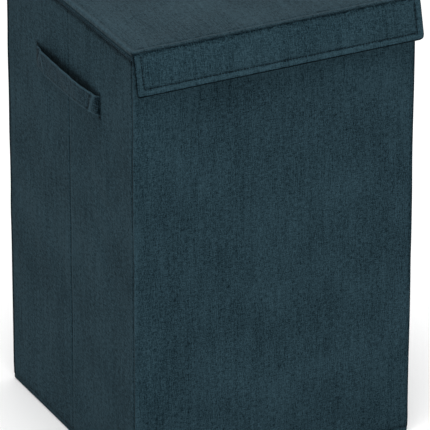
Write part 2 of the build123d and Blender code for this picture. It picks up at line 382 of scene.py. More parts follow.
# %% Paths
def lengths(points):
    """The distance along a polyline at each of its points."""
    return np.concatenate([[0], np.cumsum(np.linalg.norm(np.diff(points, axis=0), axis=1))])


def read_off(values, along, b):
    """Rows of three values that are known at the distances along, read off at the distances b."""
    return np.stack([np.interp(b, along, values[:, i]) for i in range(3)], -1)


def line_path(points, normals):
    """A path along a dense polyline: places and unit normals are read off by distance along it."""
    points, normals = np.array(points, float), np.array(normals, float)
    along = lengths(points)

    def at(b):
        """The place at distance b, and the normal there divided by its length."""
        facing = read_off(normals, along, b)
        return read_off(points, along, b), facing / np.linalg.norm(facing, axis=-1, keepdims=True)

    return at, along[-1]


def straight(start, way, normal):
    """A straight path, start + b way, with one normal."""
    def at(b):
        """start + b way for each b, and the same normal for each."""
        place = np.array(start, float) + b[..., None] * np.array(way, float)
        return place, np.broadcast_to(np.array(normal, float), place.shape)
    return at


def side_normals(line, across=(1, 0, 0)):
    """Unit normals of a line, square to it and to across."""
    along = np.gradient(line, axis=0)
    normals = np.cross(across, along)
    return normals / np.linalg.norm(normals, axis=1, keepdims=True)


def smooth_line(corners, count=240):
    """A smooth line through a few points: a Catmull-Rom curve, sampled count times."""
    p = np.array(corners, float)
    p = np.concatenate([[2 * p[0] - p[1]], p, [2 * p[-1] - p[-2]]])
    t = np.linspace(0, len(corners) - 1 - 1e-9, count)
    i, f = np.floor(t).astype(int), (t - np.floor(t))[:, None]
    p0, p1, p2, p3 = p[i], p[i + 1], p[i + 2], p[i + 3]
    square, cube = (2 * p0 - 5 * p1 + 4 * p2 - p3) * f**2, (3 * p1 - p0 - 3 * p2 + p3) * f**3
    return 0.5 * (2 * p1 + (p2 - p0) * f + square + cube)


def ease(x):
    """0 below 0, 1 above 1, and a smooth rise between, 3 x^2 - 2 x^3."""
    x = np.clip(x, 0, 1)
    return x * x * (3 - 2 * x)


def bump(x, centre, width):
    """A smooth hill of height 1, exp(-((x - centre) / width)^2 / 2)."""
    return np.exp(-0.5 * ((x - centre) / width) ** 2)


def rise(distance, width):
    """ease over a width that is given in millimetres."""
    return ease(distance / (width * MM))


# %% [markdown]
# ## The line round the bin
# The four walls are one tube of cloth with four turned corners. So the walls share one line round
# the bin: it starts at the front left corner and runs to the right, and a distance u along it names
# any place on the tube. The weave follows u and the height, so that it crosses the corners unbroken.

# %% Lines round the outside and the inside
class RoundLine:
    """A rectangle with rounded corners, seen from above, walked from the front left corner to the
    right. at(u) gives places and outward normals at distance u, and front, right, back and left
    give the distance of a place on that side."""

    def __init__(self, half, front, rear, radius):
        self.half, self.y0, self.y1, self.r = half, front, rear, radius
        self.wide, self.deep, self.turn = 2 * (half - radius), rear - front - 2 * radius, pi * radius / 2
        self.total = 2 * (self.wide + self.deep) + 4 * self.turn

    def front(self, x):
        """How far x lies to the right of the front's left corner turn."""
        return x + self.half - self.r

    def right(self, y):
        """The front and one turn, then how far y lies behind the front turn."""
        return self.wide + self.turn + y - self.y0 - self.r

    def back(self, x):
        """Front, right side and two turns, then how far x lies to the left of the right turn."""
        return self.wide + self.deep + 2 * self.turn + self.half - self.r - x

    def left(self, y):
        """Front, right side, back and three turns, then how far y lies before the rear turn."""
        return 2 * self.wide + self.deep + 3 * self.turn + self.y1 - self.r - y

    def at(self, u):
        """Straight runs and quarter circles: the corner's centre plus radius times the normal."""
        u = np.mod(u, self.total)
        starts = np.cumsum([0, self.wide, self.turn, self.deep, self.turn, self.wide, self.turn, self.deep])
        part = np.searchsorted(starts, u, side="right") - 1
        rest = u - starts[part]
        side, turning = part // 2, part % 2 == 1
        angle = side * pi / 2 + np.where(turning, rest / self.r, 0) - pi / 2
        normal = np.stack([np.cos(angle), np.sin(angle), 0 * u], -1)
        x, y0, y1 = self.half - self.r, self.y0 + self.r, self.y1 - self.r
        begin = np.array([[-x, y0], [x, y0], [x, y1], [-x, y1]])
        centre = np.where(turning[..., None], begin[(side + 1) % 4], begin[side])
        forward = np.stack([-np.sin(angle), np.cos(angle)], -1) * np.where(turning, 0, rest)[..., None]
        place = np.concatenate([centre + forward, 0 * u[..., None]], -1) + self.r * normal
        return place, normal


CORNER_ROUND = 2.8 * MM
outside = RoundLine(HALF, FRONT, REAR, CORNER_ROUND)
inside = RoundLine(HALF - WALL, FRONT + WALL, REAR - WALL, 1.0 * MM)
print(f"cloth tube: {1000 * outside.total:.0f} mm round")

# %% [markdown]
# ## Where the tube is divided
# A real tube of cloth bends at the corners and the side creases. Each stretch here follows one wall,
# or bends between the two walls that it joins. At the front right corner the frame has no joint of
# its own, because the walls close their loop there, so the front carries that corner's cloth.

# %% The stretches of the tube
def stretches(line):
    """(name, first u, last u, first body, second body) of each stretch round a line."""
    side_end, face_end = SIDE_BOARD_END, FACE_BOARD_END
    return [
        ("front", line.front(-face_end), line.right(-CORNER_Y), "front", None),
        ("right_side", line.right(-CORNER_Y), line.right(side_end), "right_front", "right_rear"),
        ("rear_right_corner", line.right(side_end), line.back(face_end), "right_rear", "back"),
        ("back", line.back(face_end), line.back(-face_end), "back", None),
        ("rear_left_corner", line.back(-face_end), line.left(side_end), "back", "left_rear"),
        ("left_side", line.left(side_end), line.left(-side_end), "left_rear", "left_front"),
        ("front_left_corner", line.left(-side_end), line.front(-face_end) + line.total,
         "left_front", "front"),
    ]


MID_HEIGHT = 0.3
FOLD_REACH = 4 * MM


def join(piece, name, first, second, line, u0, u1):
    """Makes a piece ride one body, or bend between two across the stretch it lies on."""
    if second is None:
        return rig.ride(piece, first)
    if name.endswith("side"):
        x = line.half if name == "right_side" else -line.half
        way = 1 if first.endswith("rear") else -1
        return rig.blend(piece, first, second, start=(x, way * FOLD_REACH, MID_HEIGHT),
                        end=(x, -way * FOLD_REACH, MID_HEIGHT))
    begin, finish = line.at(np.array([u0, u1]))[0]
    begin[2] = finish[2] = MID_HEIGHT
    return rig.blend(piece, first, second, start=begin, end=finish)


# %% [markdown]
# ## How stretched cloth lies
# Cloth over a board is never quite flat. It stands a little proud in slow waves, it is drawn in
# where the wall creases, and each corner has a sewn seam with a rolled ridge beside it. The waves
# are a sum of a few slow cosines, brought to between 0 and 1. No cloth simulation is run: the relief
# is shallow, so it is worked out directly, with heights given.

# %% The relief of the walls
FOOT = 6.2 * MM
waves = np.random.default_rng(11)
WAVE_TABLE = [(2 * pi * waves.integers(4, 19) / outside.total, waves.uniform(8, 42),
               waves.uniform(0, 2 * pi)) for _ in range(10)]
SLIT_Y = (low["left_rear_handle_patch"].y + high["left_rear_handle_patch"].y) / 2 - 12 * MM
SLIT_MID = (low["left_handle_strap"].z + high["left_handle_strap"].z) / 2
SLIT_REACH = 12.5 * MM
SLIT_LOW, SLIT_HIGH = SLIT_MID - SLIT_REACH, SLIT_MID + SLIT_REACH
SLIT_HALF = 1.5 * MM
SEAM_IN = 4.6 * MM
CREASES = [(outside.left(0), 1), (outside.right(0), -1)]
CORNERS = [(side(y), way * turn) for side, turn in ((outside.left, 1), (outside.right, -1))
           for y, way in ((FRONT, 1), (REAR, -1))]
SLITS = [side(y) for side in (outside.left, outside.right) for y in (SLIT_Y, -SLIT_Y)]
ROUNDS = (0, -outside.total, outside.total)


def slow_waves(u, z):
    """Sum of cosines of slow waves over the cloth, each a whole number of times round the tube, brought
    to between 0 and 1."""
    total = sum(np.cos(k * u + m * z + phase + 1.3 * np.sin(0.7 * m * z)) for k, m, phase in WAVE_TABLE)
    return 0.5 + 0.5 * np.tanh(total / 2.6)


def corner_seam(corner, way, z):
    """The distance of a corner's sewn seam, which wanders a little with height."""
    return corner - way * SEAM_IN + 0.35 * MM * np.sin(31 * z + corner * 9)


def wall_relief(z, u):
    """Height of the outer cloth over the walls: waves that fade at rim and foot, the side creases'
    grooves with a lip in front of them, and at each corner a seam groove beside a rolled ridge."""
    calm = rise(RIM - z, 35) * rise(z, 25)
    height = (0.15 + 0.75 * slow_waves(u, z) * calm) * MM
    for crease, way in CREASES:
        depth = (0.25 + 0.55 * ease((z - 0.02) / 0.12) * ease((0.50 - z) / 0.09)) * MM
        height = height - depth * bump(u, crease, 1.3 * MM)
        height = height + 0.3 * depth * bump(u, crease + way * 4.4 * MM, 2.2 * MM)
    for corner, way in CORNERS:
        for turn in ROUNDS:
            height = height - 0.6 * MM * bump(u, corner_seam(corner, way, z) + turn, 1.1 * MM)
            height = height + 0.25 * MM * bump(u, corner - way * 1.2 * MM + turn, 1.8 * MM)
    front_half = rise(u - outside.left(-40 * MM), 30) * rise(outside.left(-125 * MM) - u, 30)
    drag = np.sin(2 * pi * ((z - 0.30) + 0.55 * (u - outside.left(-80 * MM))) / 0.052)
    height = height + 0.42 * MM * front_half * bump(z, 0.34, 0.045) * (1 + drag)
    for line_u in SLITS:
        beside = np.maximum(np.abs(u - line_u) - SLIT_HALF, 0)
        tall = rise(z - SLIT_LOW + 7 * MM, 6) * rise(SLIT_HIGH + 7 * MM - z, 6)
        height = height + 0.7 * MM * np.exp(-beside / (2.2 * MM)) * tall
    return height


def wall_seams_and_painted_light(z, u):
    """Marks on the walls: painted shade in the creases, round the slits, under the rim's tape, on the
    rounding of three corners and behind the strap, which deepens the gap there; a darker band at the
    foot; a dark line along each corner's sewn seam; and a painted highlight beside each crease and on
    the front left corner."""
    # Painted shade under the rim's tape, and a darker band at the foot.
    marks = -0.9 * bump(z, BINDING_FOOT - 0.5 * MM, 1.6 * MM) - 0.35 * bump(z, FOOT, 3 * MM)
    for crease, way in CREASES:
        strength = ease((z - 0.01) / 0.10) * (0.35 + 0.65 * ease((0.50 - z) / 0.09))
        # Painted shade in the crease, and a painted highlight on the lip beside it.
        marks = marks - 0.55 * strength * bump(u, crease, 0.9 * MM)
        marks = marks + 0.22 * strength * bump(u, crease + way * 2.8 * MM, 1.3 * MM)
    for corner, way in CORNERS:
        for turn in ROUNDS:
            # A dark line on the corner's sewn seam, then a painted highlight on the front left corner's ridge and
            # painted shade on the rounding of the others.
            marks = marks - 0.5 * bump(u, corner_seam(corner, way, z) + turn, 1.0 * MM)
            if corner == outside.left(FRONT):
                marks = marks + 0.18 * bump(u, corner - way * 0.8 * MM + turn, 1.6 * MM)
            else:
                marks = marks - 0.45 * bump(u, corner - way * 1.1 * MM + turn, 2.2 * MM)
    for line_u in SLITS:
        beside = np.maximum(np.abs(u - line_u) - SLIT_HALF, 0)
        above = np.maximum(np.abs(z - SLIT_MID) - SLIT_REACH, 0)
        # Painted shade round the slit.
        marks = marks - 1.0 * np.exp(-np.hypot(beside, above) / (1.0 * MM))
    # Painted shade on the wall behind the strap, which deepens the gap above it.
    for middle_u, _ in CREASES:
        tall = rise(z - SLIT_LOW, 6) * rise(SLIT_HIGH + 4 * MM - z, 5)
        marks = marks - 0.55 * tall * rise(SLIT_Y - np.abs(u - middle_u), 6)
    return marks


proud = wall_relief(np.full(500, 0.25), np.linspace(0, outside.total, 500)).max()
print(f"waves stand up to {1000 * proud:.2f} mm proud")

# %% [markdown]
# ## Outer cloth and lining
# Each stretch of the tube is one bent slab from the foot to just under the rim's binding. The side
# stretches have a slit on each side of the crease, where the strap goes through. The lining hangs
# inside the boards in the same stretches, plainer and calmer, with the same slits. The frame splits
# the tube by rigid wall, so each stretch says which of the frame's plain solids it stands for.

# %% Make the walls' cloth
HEM = 0.9 * MM
CLOTH_TOP = RIM - 2 * MM
LINING_TOP = RIM - 1.5 * MM


def lines_round(line, u0, u1):
    """Grid lines along a stretch, closer at the corners, the creases and the slits."""
    places = [(line.left(0), 7 * MM, 19), (line.right(0), 7 * MM, 19)]
    places += [(at(end), 8 * MM, 21) for at in (line.left, line.right) for end in (FRONT, REAR)]
    places += [(at(end), 8 * MM, 21) for at in (line.front, line.back) for end in (-HALF, HALF)]
    places += [(at(way * SLIT_Y), SLIT_HALF, 3) for at in (line.left, line.right) for way in (-1, 1)]
    places += [(at(way * SLIT_Y), 7.5 * MM, 11) for at in (line.left, line.right) for way in (-1, 1)]
    wrapped = [(centre + turn, reach, count) for centre, reach, count in places for turn in (0, line.total)]
    return spaced(u0, u1, 6 * MM, fine=[p for p in wrapped if u0 - 0.01 < p[0] < u1 + 0.01])


def slits(line, name):
    """The two strap slits of a side stretch, as openings in (height, distance)."""
    if not name.endswith("side"):
        return []
    at = line.right if name == "right_side" else line.left
    return [(SLIT_LOW, SLIT_HIGH, at(y) - SLIT_HALF, at(y) + SLIT_HALF) for y in (-SLIT_Y, SLIT_Y)]


def halves(name, kind):
    """The frame's nodes of one kind on a stretch: one on the front or back, two on a side wall."""
    if name.endswith("side"):
        side = name[:-len("_side")]
        return [f"{side}_rear_{kind}", f"{side}_front_{kind}"]
    return [] if name.endswith("corner") else [f"{name}_{kind}"]


for name, u0, u1, first, second in stretches(outside):
    z_lines = spaced(FOOT, CLOTH_TOP, 6 * MM, rims=(HEM, 0), fine=[(SLIT_MID, SLIT_REACH, 9)])
    cloth = bent_slab(f"{name}_cloth", z_lines, lines_round(outside, u0, u1), (0, 0, 1), outside.at,
                      wall_relief, lambda z, u: wall_relief(z, u) - CLOTH, rims=(HEM, 0, 0, 0),
                      holes=slits(outside, name), seam=wall_seams_and_painted_light)
    join(cloth, name, first, second, outside, u0, u1)
    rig.slot(cloth, "linen_cloth")
    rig.sheet(cloth, flat=(float(u1 - u0), float(CLOTH_TOP - FOOT)), held="stretched")
    nodes = halves(name, "outer_cloth")
    if name.endswith("side"):
        nodes.append(name.replace("_side", "_crease_fold"))
    if nodes:
        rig.replaces(cloth, *nodes)
    print(f"{name} cloth: {len(cloth.data.polygons)} faces")


# %% Make the lining
def lining_relief(z, u):
    """The lining's inner face: calm waves of up to 0.5 mm towards the inside, flat near the corners,
    which leaves room for the walls to fold, and on the rear wall, where the insert lifts against it."""
    ends = np.array([at(y) for at in (inside.left, inside.right) for y in (FRONT, REAR)])
    ends = np.concatenate([ends - inside.total, ends, ends + inside.total])
    from_corner = np.abs(u[..., None] - ends).min(-1)
    rear = rise(u - inside.right(REAR), 9) * rise(inside.left(REAR) - u, 9)
    calm = rise(RIM - z, 30) * rise(from_corner - 12 * MM, 25) * (1 - rear)
    return -0.5 * MM * slow_waves(u + 0.4, z) * calm


CORNER_TAPES = {"front": "right_front_corner_tape", "front_left_corner": "left_front_corner_tape",
                "rear_left_corner": "left_rear_corner_tape", "rear_right_corner": "right_rear_corner_tape"}
for name, u0, u1, first, second in stretches(inside):
    z_lines = spaced(LINING_FOOT, LINING_TOP, 9 * MM, fine=[(SLIT_MID, SLIT_REACH, 5)])
    sheet = bent_slab(f"{name}_lining_cloth", z_lines, lines_round(inside, u0, u1), (0, 0, 1), inside.at,
                      level(LINING - 0.05 * MM), lining_relief, holes=slits(inside, name),
                      uv_from=(0.13, 0.07))
    join(sheet, name, first, second, inside, u0, u1)
    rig.slot(sheet, "lining_cloth")
    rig.sheet(sheet, flat=(float(u1 - u0), float(LINING_TOP - LINING_FOOT)), held="stretched")
    nodes = halves(name, "lining")
    if name in CORNER_TAPES:
        nodes.append(CORNER_TAPES[name])
    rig.replaces(sheet, *nodes)
print("lining:", len(stretches(inside)), "stretches")

# %% [markdown]
# ## The rim's binding
# A folded tape wraps the walls' top edge. Its section is a narrow arch, outside and inside, and it
# is carried round the same line. Deeper than a corner's radius, the arch's inner leg would cross
# itself, so its places are held inside the rectangle at that depth, which gives a plain corner.

# %% Carry the arch round the rim
ARCH_OUT = np.array([(0.75, 0.0), (1.15, 0.5), (1.35, 1.9), (1.25, 3.7), (0.75, 5.1), (-0.4, 5.9),
                     (-2.25, 6.1), (-4.1, 5.9), (-5.25, 5.1), (-5.6, 3.7), (-5.65, 1.9), (-5.5, 0.5),
                     (-5.2, 0.0)]) * MM
ARCH_IN = np.array([(0.2, 0.05), (0.25, 0.6), (0.3, 2.0), (0.2, 3.6), (-0.2, 4.6), (-0.9, 5.3), (-2.25, 5.4),
                    (-3.6, 5.3), (-4.3, 4.6), (-4.65, 3.6), (-4.7, 2.0), (-4.65, 0.6), (-4.6, 0.05)]) * MM
PIVOT_DEPTH = 4.3 * MM


def round_rim(section, u, spare=0.0):
    """Places of a section of (depth, height over the tape's foot) carried along distances u of the
    outside line, with a slight wave in its height. Inside the bin the tape's ends are cut slanting at the
    open pivot by the front right corner, so that they clear each other when the walls fold."""
    points, normals = outside.at(u)
    from_pivot = (u - outside.right(-CORNER_Y) + outside.total / 2) % outside.total - outside.total / 2
    slant = spare - PIVOT_DEPTH - 0.9 * np.abs(from_pivot)
    depth = np.maximum(section[:, 0][:, None], slant[None])[..., None]
    place = points[None] + depth * normals[None]
    inner = depth[..., 0] < -outside.r
    reach_x = outside.half + depth[..., 0]
    reach_y = (outside.y0 - depth[..., 0], outside.y1 + depth[..., 0])
    place[..., 0] = np.where(inner, np.clip(place[..., 0], -reach_x, reach_x), place[..., 0])
    place[..., 1] = np.where(inner, np.clip(place[..., 1], *reach_y), place[..., 1])
    wave = 0.12 * MM * np.sin(2 * pi * 17 * u / outside.total)[None]
    place[..., 2] = BINDING_FOOT + section[:, 1][:, None] + wave
    return place


for name, u0, u1, first, second in stretches(outside):
    u = lines_round(outside, u0, u1)
    along = lengths(ARCH_OUT)
    uv = np.stack(np.broadcast_arrays(u[None], along[:, None]), -1)
    tape = closed_slab(f"{name}_rim_tape", round_rim(ARCH_OUT, u), round_rim(ARCH_IN, u, 0.15 * MM), uv)
    join(tape, name, first, second, outside, u0, u1)
    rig.slot(tape, "binding_tape")
    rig.sheet(tape, flat=(float(u1 - u0), float(along[-1])), held="folded", rests_on=[f"{name}_cloth"])
    if halves(name, "rim_binding"):
        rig.replaces(tape, *halves(name, "rim_binding"))
print(f"rim tape: {1000 * along[-1]:.1f} mm wide before folding")

# %% [markdown]
# ## The bottom and its insert
# The bottom is one panel of the outer cloth, which crumples towards the rear wall as the bin folds.
# A cloth-covered board lies on it and lifts about its rear edge, on a narrow tape.

# %% Make the bottom, the insert and its tape
PAN_DEEP = REAR - FRONT
BEND = 2.0 * MM
PAN_FLAT = CORNER_ROUND - BEND
PAN_RISE = FOOT - 0.1 * MM
pan_reach = PAN_FLAT + BEND * pi / 2 + PAN_RISE - BEND


def pan(places):
    """Turns a flat cut's border up into a shallow tray. A point at distance s outside the inner
    rectangle goes out by PAN_FLAT, round a quarter circle of radius BEND and then straight up. The
    cut's own height becomes depth inside the cloth."""
    x, y = places[:, 0], places[:, 1] - (FRONT + REAR) / 2
    held_x = np.clip(x, -HALF + CORNER_ROUND, HALF - CORNER_ROUND)
    held_y = np.clip(y, -PAN_DEEP / 2 + CORNER_ROUND, PAN_DEEP / 2 - CORNER_ROUND)
    s = np.hypot(x - held_x, y - held_y)
    out = np.stack([x - held_x, y - held_y], -1) / np.maximum(s, 1e-9)[:, None]
    angle = np.clip((s - PAN_FLAT) / BEND, 0, pi / 2)
    reach = np.minimum(s, PAN_FLAT) + BEND * np.sin(angle) - places[:, 2] * np.sin(angle)
    climb = BEND * (1 - np.cos(angle)) + np.maximum(s - PAN_FLAT - BEND * pi / 2, 0)
    climb = climb + places[:, 2] * np.cos(angle)
    flat = np.stack([held_x, held_y + (FRONT + REAR) / 2], -1)
    return np.concatenate([flat + reach[:, None] * out, climb[:, None]], 1)


side_cut, front_cut = HALF - CORNER_ROUND + pan_reach, PAN_DEEP / 2 - CORNER_ROUND + pan_reach
turned = [(way * (side_cut - 5.5 * MM), 4.5 * MM, 13) for way in (-1, 1)]
turned_deep = [(front_cut + way * (front_cut - 5.5 * MM), 4.5 * MM, 13) for way in (-1, 1)]
bottom = bent_slab("bottom_panel_cloth", spaced(-side_cut, side_cut, 9 * MM, fine=turned),
                   spaced(0, 2 * front_cut, 9 * MM, fine=turned_deep), (1, 0, 0),
                   straight((0, FRONT - pan_reach + CORNER_ROUND, 0), (0, 1, 0), (0, 0, 1)),
                   level(0.8 * MM), level(0), corners=(pan_reach,) * 4, shape=pan,
                   uv_from=(0.3, 0.1), uv_along="a")
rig.ride(bottom, "back")
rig.squash(bottom, "side_fold", axis=(0, 1, 0), anchor=(0, REAR, 0), keep=0.2)
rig.replaces(bottom, "bottom_cloth")
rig.slot(bottom, "linen_cloth")
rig.sheet(bottom, flat=(2 * side_cut, 2 * front_cut), held="folded")

cover_low, cover_high = low["base_cover"], high["base_cover"]
cover_half, cover_deep = cover_high.x, cover_high.y - cover_low.y
cover_thick = cover_high.z - cover_low.z


def cover_face(a, b):
    """The insert's upper face: flat, with shallow slow waves inside its edge."""
    inner = rise(cover_half - np.abs(a), 30) * rise(np.minimum(b, cover_deep - b), 30)
    return cover_thick / 2 + inner * 0.3 * MM * slow_waves(3 * b, 3 * a)


insert_rims = (2.2 * MM, 2.2 * MM)
insert = bent_slab("base_insert_cover", spaced(-cover_half, cover_half, 8 * MM, rims=insert_rims),
                   spaced(0, cover_deep, 8 * MM, rims=insert_rims), (1, 0, 0),
                   straight((0, cover_low.y, cover_low.z + cover_thick / 2), (0, 1, 0), (0, 0, 1)),
                   cover_face, level(-cover_thick / 2), rims=insert_rims * 2, corners=(4 * MM,) * 4)
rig.ride(insert, "base_insert")
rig.replaces(insert, "base_cover")
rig.slot(insert, "lining_cloth")
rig.padded(insert, fill=1.0)

hinge_y, hinge_z = joint_at["base_lift"].y, joint_at["base_lift"].z
inner_rear = REAR - WALL
on_wall = [(0, inner_rear - 0.35 * MM, hinge_z + 10 * MM), (0, inner_rear - 0.3 * MM, hinge_z + 5 * MM)]
on_insert = [(0, hinge_y + y * MM, hinge_z + z * MM) for y, z in ((0.4, 1), (-1.5, 0.25), (-4, 0.2))]
tape_line = smooth_line(on_wall + on_insert)
tape_path, tape_length = line_path(tape_line, side_normals(tape_line))
base_tape = bent_slab("base_insert_tape", spaced(-cover_half + 2 * MM, cover_half - 2 * MM, 12 * MM),
                      spaced(0, tape_length, 0.7 * MM), (1, 0, 0), tape_path, level(0.2 * MM),
                      level(-0.15 * MM))
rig.blend(base_tape, "back", "base_insert", start=(0, inner_rear, hinge_z + 4 * MM),
         end=(0, hinge_y - 2 * MM, hinge_z))
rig.replaces(base_tape, "base_hinge_tape")
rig.slot(base_tape, "binding_tape")
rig.sheet(base_tape, flat=(2 * cover_half - 4 * MM, float(tape_length)), held="folded")
print(f"insert: {2000 * cover_half:.0f} x {1000 * cover_deep:.0f} mm, tape {1000 * tape_length:.1f} mm wide")

# %% [markdown]
# ## Strap handles
# Each handle is one strap. Its tails lie flat inside the wall, under a sewn patch, and it comes out
# through a slit, bows away from the wall and goes in again. The strap spreads between its slits,
# leans out at its upper edge and crumples where a slit squeezes it. No simulation is run for it: its
# line is a smooth curve, and its folds are given one by one.

# %% Make the straps and their patches
STRAP_WIDE = high["left_handle_strap"].z - low["left_handle_strap"].z
STRAP_THICK = 1.9 * MM
PATCH_BACK = 0.45 * MM
STRAP_MID = (high["left_handle_strap"].z + low["left_handle_strap"].z) / 2
TAIL_X = HALF - WALL - 1.15 * MM
OUT_LINE = [(TAIL_X, 95.5), (TAIL_X, 88.0), (TAIL_X + 0.0001, 83.5), (HALF - WALL + 0.0016, 80.6),
            (HALF - 0.0008, 79.9), (HALF + 0.0020, 78.0), (HALF + 0.0036, 72.0), (HALF + 0.0062, 55.0),
            (HALF + 0.0079, 30.0), (HALF + 0.0085, 0.0)]


def strap_line(way):
    """The strap's middle line seen from above, from the rear tail to the front one, on side way."""
    half_line = [(way * x, y * MM, 0.0) for x, y in OUT_LINE]
    return smooth_line(half_line + [(x, -y, 0.0) for x, y, _ in half_line[-2::-1]], 420)


def up_strap(z):
    """How far up the strap a height is: -1 at its lower edge, 1 at its upper edge."""
    return (z - STRAP_MID) / (STRAP_WIDE / 2)


def sloping(s, up, table):
    """Sum of sloping hills: size bump(s, at + slant up, wide) for each (size, at, slant, wide) in mm."""
    return sum(size * bump(s, (at + slant * up) * MM, wide * MM) for size, at, slant, wide in table)


def strap_fall(places):
    """The strap is cut wider than its slits: it spreads by up to 1 mm below and 2.5 mm above them between
    the two, its upper edge leans out, and it stands off the wall a little further in front of the middle."""
    y = places[:, 1]
    free = np.clip(1 - (y / (SLIT_Y - 4 * MM)) ** 2, 0, 1)
    upper = up_strap(places[:, 2])
    out = np.sign(places[:, 0])
    moved = places.copy()
    moved[:, 2] += (0.75 + 1.75 * upper) * MM * free
    moved[:, 0] += out * (0.8 * upper * free + 1.5 * bump(y, -42 * MM, 17 * MM) * (0.6 + 0.4 * upper)) * MM
    return moved


def strap_painted_light(a, s):
    """Painted highlights along the strap's edges and over its folds, and painted shade just inside the edges, in dents
    near the slits and at the slits.
    """
    up = up_strap(a)
    # A painted highlight on each edge, with painted shade just inside it.
    edge = 0.7 * bump(np.abs(up), 0.95, 0.06) - 0.25 * bump(np.abs(up), 0.8, 0.06)
    table = [(0.7, -56, -8, 1.4), (0.7, 69, 5, 1.3), (0.6, -71, 4, 1.1), (-0.5, -74, 5, 1.3),
             (-0.45, 63, 5, 1.8), (-0.45, -61, -7, 2)]
    return edge + sloping(s, up, table) - 0.6 * bump(np.abs(s), 80 * MM, 3.5 * MM)


def strap_crumple(length):
    """Extra height of the strap's face: V-shaped folds by the slits, a dent near one end, fine waves."""
    def at(a, b):
        """Folds and ripple added up, both fading to nothing on the tails. s is 0 in the middle."""
        up = up_strap(a)
        s = b - length / 2
        fold = 1.3 * bump(s, -66 * MM, 4 * MM) * np.cos(2.6 * up + 1.2)
        table = [(1.2, -56, -8, 3), (1.3, 69, 5, 2.8), (-0.8, 61, -6, 3)]
        fold = fold + sloping(s, up, table)
        ripple = 0.35 * np.sin(s / (6.1 * MM) + 1.7 * up) * np.cos(s / (17 * MM))
        fold, ripple = fold * MM, ripple * MM
        return (fold + ripple) * rise(length / 2 - 17 * MM - np.abs(s), 8)
    return at


for side, way in (("left", -1), ("right", 1)):
    line = strap_line(way)
    normals = side_normals(line, (0, 0, 1))
    normals *= np.sign(normals[len(normals) // 2, 0]) * way
    path, length = line_path(line, normals)
    crumple = strap_crumple(length)
    edges = (1.2 * MM, 1.2 * MM)
    z_lines = spaced(STRAP_MID - STRAP_WIDE / 2, STRAP_MID + STRAP_WIDE / 2, 1.5 * MM, rims=edges)
    strap = bent_slab(f"{side}_strap", z_lines, spaced(0, length, 1.6 * MM), (0, 0, 1), path,
                      lambda a, b: STRAP_THICK / 2 + crumple(a, b),
                      lambda a, b: crumple(a, b) - STRAP_THICK / 2,
                      rims=edges + (0.6 * MM, 0.6 * MM), shape=strap_fall, uv_from=(0.02, 0.31),
                      seam=lambda a, b: strap_painted_light(a, b - length / 2))
    x = way * HALF
    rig.blend(strap, f"{side}_rear", f"{side}_front", start=(x, 45 * MM, STRAP_MID),
             end=(x, -45 * MM, STRAP_MID))
    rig.replaces(strap, f"{side}_handle_strap")
    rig.slot(strap, "strap_cloth")
    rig.sheet(strap, flat=(STRAP_WIDE + 2 * MM, float(length)), held="stretched",
             rests_on=[f"{side}_side_cloth"])
    for part in ("rear", "front"):
        patch_node = f"{side}_{part}_handle_patch"
        box_low, box_high = low[patch_node], high[patch_node]
        wide, tall = box_high.y - box_low.y, box_high.z - box_low.z
        x_mid = (box_low.x + box_high.x) / 2
        patch_path = straight((x_mid, box_low.y, 0), (0, 1, 0), (-way, 0, 0))

        def patch_face(a, b, low_a=box_low.z, tall=tall, wide=wide):
            """0.4 mm, and 0.35 mm more inside the sewn border, less a 0.25 mm groove along it."""
            rim = np.minimum(np.minimum(a - low_a, low_a + tall - a), np.minimum(b, wide - b))
            return (0.4 + 0.35 * rise(rim - 3 * MM, 3) - 0.25 * bump(rim, 2.4 * MM, 0.6 * MM)) * MM

        patch_rims = (1.0 * MM, 1.0 * MM)
        patch = bent_slab(f"{side}_{part}_patch", spaced(box_low.z, box_high.z, 1.5 * MM, rims=patch_rims),
                          spaced(0, wide, 1.5 * MM, rims=patch_rims), (0, 0, 1), patch_path, patch_face,
                          level(-PATCH_BACK), rims=patch_rims * 2, corners=(2 * MM,) * 4)
        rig.ride(patch, f"{side}_{part}")
        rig.replaces(patch, patch_node)
        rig.slot(patch, "strap_cloth")
        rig.sheet(patch, flat=(wide, tall), held="stretched", rests_on=[f"{side}_side_lining_cloth"])
bow = abs(line[:, 0]).max() - HALF
print(f"straps: {1000 * length:.0f} mm long, {1000 * STRAP_WIDE:.0f} mm wide, bow {1000 * bow:.1f} mm")

# %% [markdown]
# ## The lid and its flap
# The lid is a board in a cloth sleeve with a thin layer of wadding, so its top is slightly crowned
# and its edge is a tight round. The same cloth runs over the front edge, dips into a soft crease
# and continues as the flap, which is stitched a finger's width inside its three free edges.

# %% Relief of the lid
LID_HALF = high["lid_top_cloth"].x
LID_REAR = high["lid_top_cloth"].y
LID_FRONT = low["lid_board"].y - 1.7 * MM
LID_TOP = high["lid_top_cloth"].z
LID_UNDER = low["lid_top_cloth"].z
lid_long = LID_REAR - LID_FRONT
EDGE = 2.5 * MM


def lid_face(a, b):
    """The lid's top: a low crown, slow waves, and a firm ridge inside the edges with a seam's groove."""
    side = LID_HALF - np.abs(a)
    crown = (1 - (a / LID_HALF) ** 6) * (1 - np.abs(2 * b / lid_long - 1) ** 6)
    inner = rise(np.minimum(side, b), 22) * rise(lid_long + 12 * MM - b, 22)
    height = 0.9 * MM * crown + 0.75 * MM * inner * slow_waves(2.1 * b + 0.2, 1.7 * a)
    inside_edge = np.minimum(np.minimum(side, b), lid_long - b + 1.5 * MM)
    height = height + 0.45 * MM * bump(inside_edge, 3.0 * MM, 1.5 * MM)
    return height - 0.45 * MM * bump(inside_edge, 7.0 * MM, 1.3 * MM)


